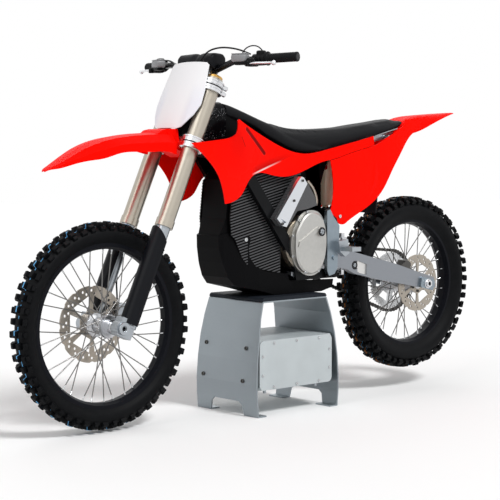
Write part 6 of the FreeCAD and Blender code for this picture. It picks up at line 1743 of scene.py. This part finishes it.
def link_moves(first):
    """The moves that lay every second link between its joints, from the first one given."""
    moves = []
    for i in range(first, len(joints), 2):
        run = joints[(i + 1) % len(joints)] - joints[i]
        stretch = Matrix.Diagonal((run.length / PITCH, 1, 1, 1))
        turn = Matrix.Rotation(math.atan2(-run.z, run.x), 4, "Y")
        moves.append(Matrix.Translation(joints[i]) @ turn @ stretch)
    return moves


joints = chain_joints()
inner_link = link(INNER_LINK_SIDE, ROLLER_LENGTH, ROLLER_RADIUS)
outer_link = link(OUTER_LINK_SIDE, PIN_LENGTH, PIN_RADIUS)
chain = joined(copies(inner_link, link_moves(0)), copies(outer_link, link_moves(1)))
done(chain, "roller_chain", dark_steel, "chassis", 40, "drive_chain")
print("chain links", len(joints))

# %% [markdown]
# ## The stand and the charger
#
# The stand's two walls are bent sheet, brushed and anodised a bluish grey. Four bolts go through each
# wall into the charger, and ten screws hold the charger's cover. Small feet stand off below it.

# %% Stand bolts
STAND_CENTRE = side_point(0.5034, 0.0)
WALL_BOLTS = [(-0.120, 0.242), (0.098, 0.240), (-0.126, 0.127), (0.090, 0.124)]
WALL_HEAD = (0.0075, 0.005)
wall_places = [seen_from("stand_plates", (STAND_CENTRE.x, side, height), AHEAD * -way)
               for side, height in WALL_BOLTS for way in (1, -1)]
bolts("stand_bolts", wall_places, WALL_HEAD, dark_steel, "chassis")

# %% Charger screws
COVER_SCREWS = [
    (-0.111, 0.258), (0.0, 0.258), (0.111, 0.258), (-0.164, 0.213), (0.164, 0.213), (-0.164, 0.146),
    (0.164, 0.146), (-0.111, 0.102), (0.0, 0.102), (0.111, 0.102),
]
SCREW_HEAD = (0.0048, 0.004)
screw_places = [seen_from("charger_cover", (STAND_CENTRE.x + along, 0, height), -LEFT)
                for along, height in COVER_SCREWS]
bolts("charger_screws", screw_places, SCREW_HEAD, steel, "chassis")

# %% Charger feet
FOOT = [(0.0003, -0.016), (0.0050, -0.016), (0.0060, -0.0145), (0.0060, 0.0), (0.0003, 0.0)]
FOOT_AHEAD = 0.126
FOOT_SIDE = 0.120
low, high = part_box("charger_box")
feet = [Matrix.Translation((STAND_CENTRE.x + along, side, low.z))
        for along in (-FOOT_AHEAD, FOOT_AHEAD) for side in (-FOOT_SIDE, FOOT_SIDE)]
done(copies(spun(FOOT, (0, 0, 0), UP, 16), feet), "charger_feet", satin_silver, "chassis", 40)

# %% [markdown]
# A rubber mat lies on the stand. It is dull, with a fine grain, and a little dust on it.

# %% Stand mat finish
stand_rubber = plastic("stand mat rubber", (0.010, 0.013, 0.019), 0.60, grain=0.2, shine=0.15)

# %% [markdown]
# ## The toothed rail under the motor
#
# Between the motor and the skid plate runs a thin light rail with small teeth along its lower edge. Its
# outline is a row of teeth, given a depth.

# %% Toothed rail
RAIL_TEETH = 18
RAIL_SIDE = 0.070
RAIL_DEPTH = 0.030
RAIL_TOP = 0.008
TOOTH_ROOT = -0.005
TOOTH_TIP = -0.012
RAIL_EDGE = 0.0012
rail_start = side_point(0.5200, 0.4840, RAIL_SIDE)
rail_end = side_point(0.6500, 0.4720, RAIL_SIDE)
rail_outline = [rail_start + UP * RAIL_TOP, rail_end + UP * RAIL_TOP]
for i in range(RAIL_TEETH, -1, -1):
    rail_outline.append(rail_start.lerp(rail_end, i / RAIL_TEETH) + UP * (TOOTH_TIP if i % 2 else TOOTH_ROOT))
rail = plate(rail_outline, LEFT * RAIL_DEPTH, RAIL_EDGE, 1)
done(both_sides(rail), "toothed_rails", satin_silver, "chassis", 30)

# %% [markdown]
# ## Dressing the frame's own nodes
#
# The nodes whose shape is right stay, and each gets its finish by name.

# %% Finishes of the frame's own nodes
DRESSED = [
    (shroud_red, "shrouds"),
    (panel_red, "side_panels"),
    (red_plastic, "front_fender rear_fender"),
    (plate_white, "number_plate"),
    (guard_plastic, "fork_guards mud_flap chain_guide"),
    (case_plastic, "skid_plate battery_case"),
    (grip_rubber, "grips front_brake_hose rear_brake_hose"),
    (pad_cover, "bar_pad"),
    (cover, "seat"),
    (front_rubber, "front_tyre"),
    (rear_rubber, "rear_tyre"),
    (champagne, "fork_tubes"),
    (sunlit_shock_champagne, "shock_absorber"),
    (milled_silver, "triple_clamps front_axle rear_axle"),
    (satin_silver, "fork_legs front_caliper footpegs subframe"),
    (pivot_silver, "pivot_plates axle_blocks"),
    (sand_cast, "motor_cover"),
    (drum_metal, "motor_housing"),
    (inverter, "inverter_case"),
    (arm_metal, "swingarm"),
    (front_hub_finish, "front_hub"),
    (rear_hub_finish, "rear_hub"),
    (speckled, "tank_cover"),
    (rim_black, "front_rim rear_rim"),
    (black_anodised, "handlebar hand_controls shock_spring"),
    (matt_black, "main_frame"),
    (disc_steel, "front_disc rear_disc"),
    (steel, "rear_sprocket drive_sprocket"),
    (dark_steel, "drive_chain rear_caliper"),
    (stand_rubber, "stand_top"),
    (stand_sheet, "stand_plates"),
    (charger_grey, "charger_box charger_cover"),
]
for finish, names in DRESSED:
    for name in names.split():
        nodes[name].data.materials.clear()
        nodes[name].data.materials.append(finish.material)

# %% [markdown]
# ## Floor and light
#
# The floor is plain and pale. Where the camera, a mirror or glass sees the world, it is white, as behind
# a cut-out photograph. What lights the object is weaker: the level that the world keeps for other rays,
# and three soft suns, given by the angle and the height that they shine from.

# %% Floor
FLOOR_SIZE = 40
bpy.ops.mesh.primitive_plane_add(size=FLOOR_SIZE, location=(0, 0, 0))
floor = bpy.context.object
floor.name = "floor"
ground = Finish("pale floor", Base_Color=(0.97, 0.97, 0.97), Roughness=0.9, Specular_IOR_Level=0.0)
floor.data.materials.append(ground.material)

# %% World
WORLD_LEVEL = 0.42
WHITE_LEVEL = 1.0
world = bpy.data.worlds.new("studio")
world.use_nodes = True
bpy.context.scene.world = world
tree = world.node_tree
background = tree.nodes["Background"]
background.inputs["Color"].default_value = (1, 1, 1, 1)
rays = tree.nodes.new("ShaderNodeLightPath")
seen = rays.outputs["Is Camera Ray"]
for name in ("Is Glossy Ray", "Is Transmission Ray"):
    either = tree.nodes.new("ShaderNodeMath")
    either.operation = "MAXIMUM"
    tree.links.new(seen, either.inputs[0])
    tree.links.new(rays.outputs[name], either.inputs[1])
    seen = either.outputs[0]
level = tree.nodes.new("ShaderNodeMapRange")
level.inputs["To Min"].default_value = WORLD_LEVEL
level.inputs["To Max"].default_value = WHITE_LEVEL
tree.links.new(seen, level.inputs["Value"])
tree.links.new(level.outputs["Result"], background.inputs["Strength"])

# %% Suns


def sun(name, azimuth, elevation, strength, softness):
    """A soft sun, placed by the compass angle and the height that it shines from."""
    bpy.ops.object.light_add(type="SUN", location=(0, 0, 3))
    made = bpy.context.object
    made.name = name
    made.data.energy = strength
    made.data.angle = math.radians(softness)
    turn, rise = math.radians(azimuth), math.radians(elevation)
    source = Vector((math.cos(turn) * math.cos(rise), math.sin(turn) * math.cos(rise), math.sin(rise)))
    made.rotation_euler = source.to_track_quat("Z", "Y").to_euler()
    return made


sun("key", 95, 50, 1.9, 14)
sun("fill", 5, 35, 0.55, 40)
sun("rim", 235, 40, 0.35, 40)
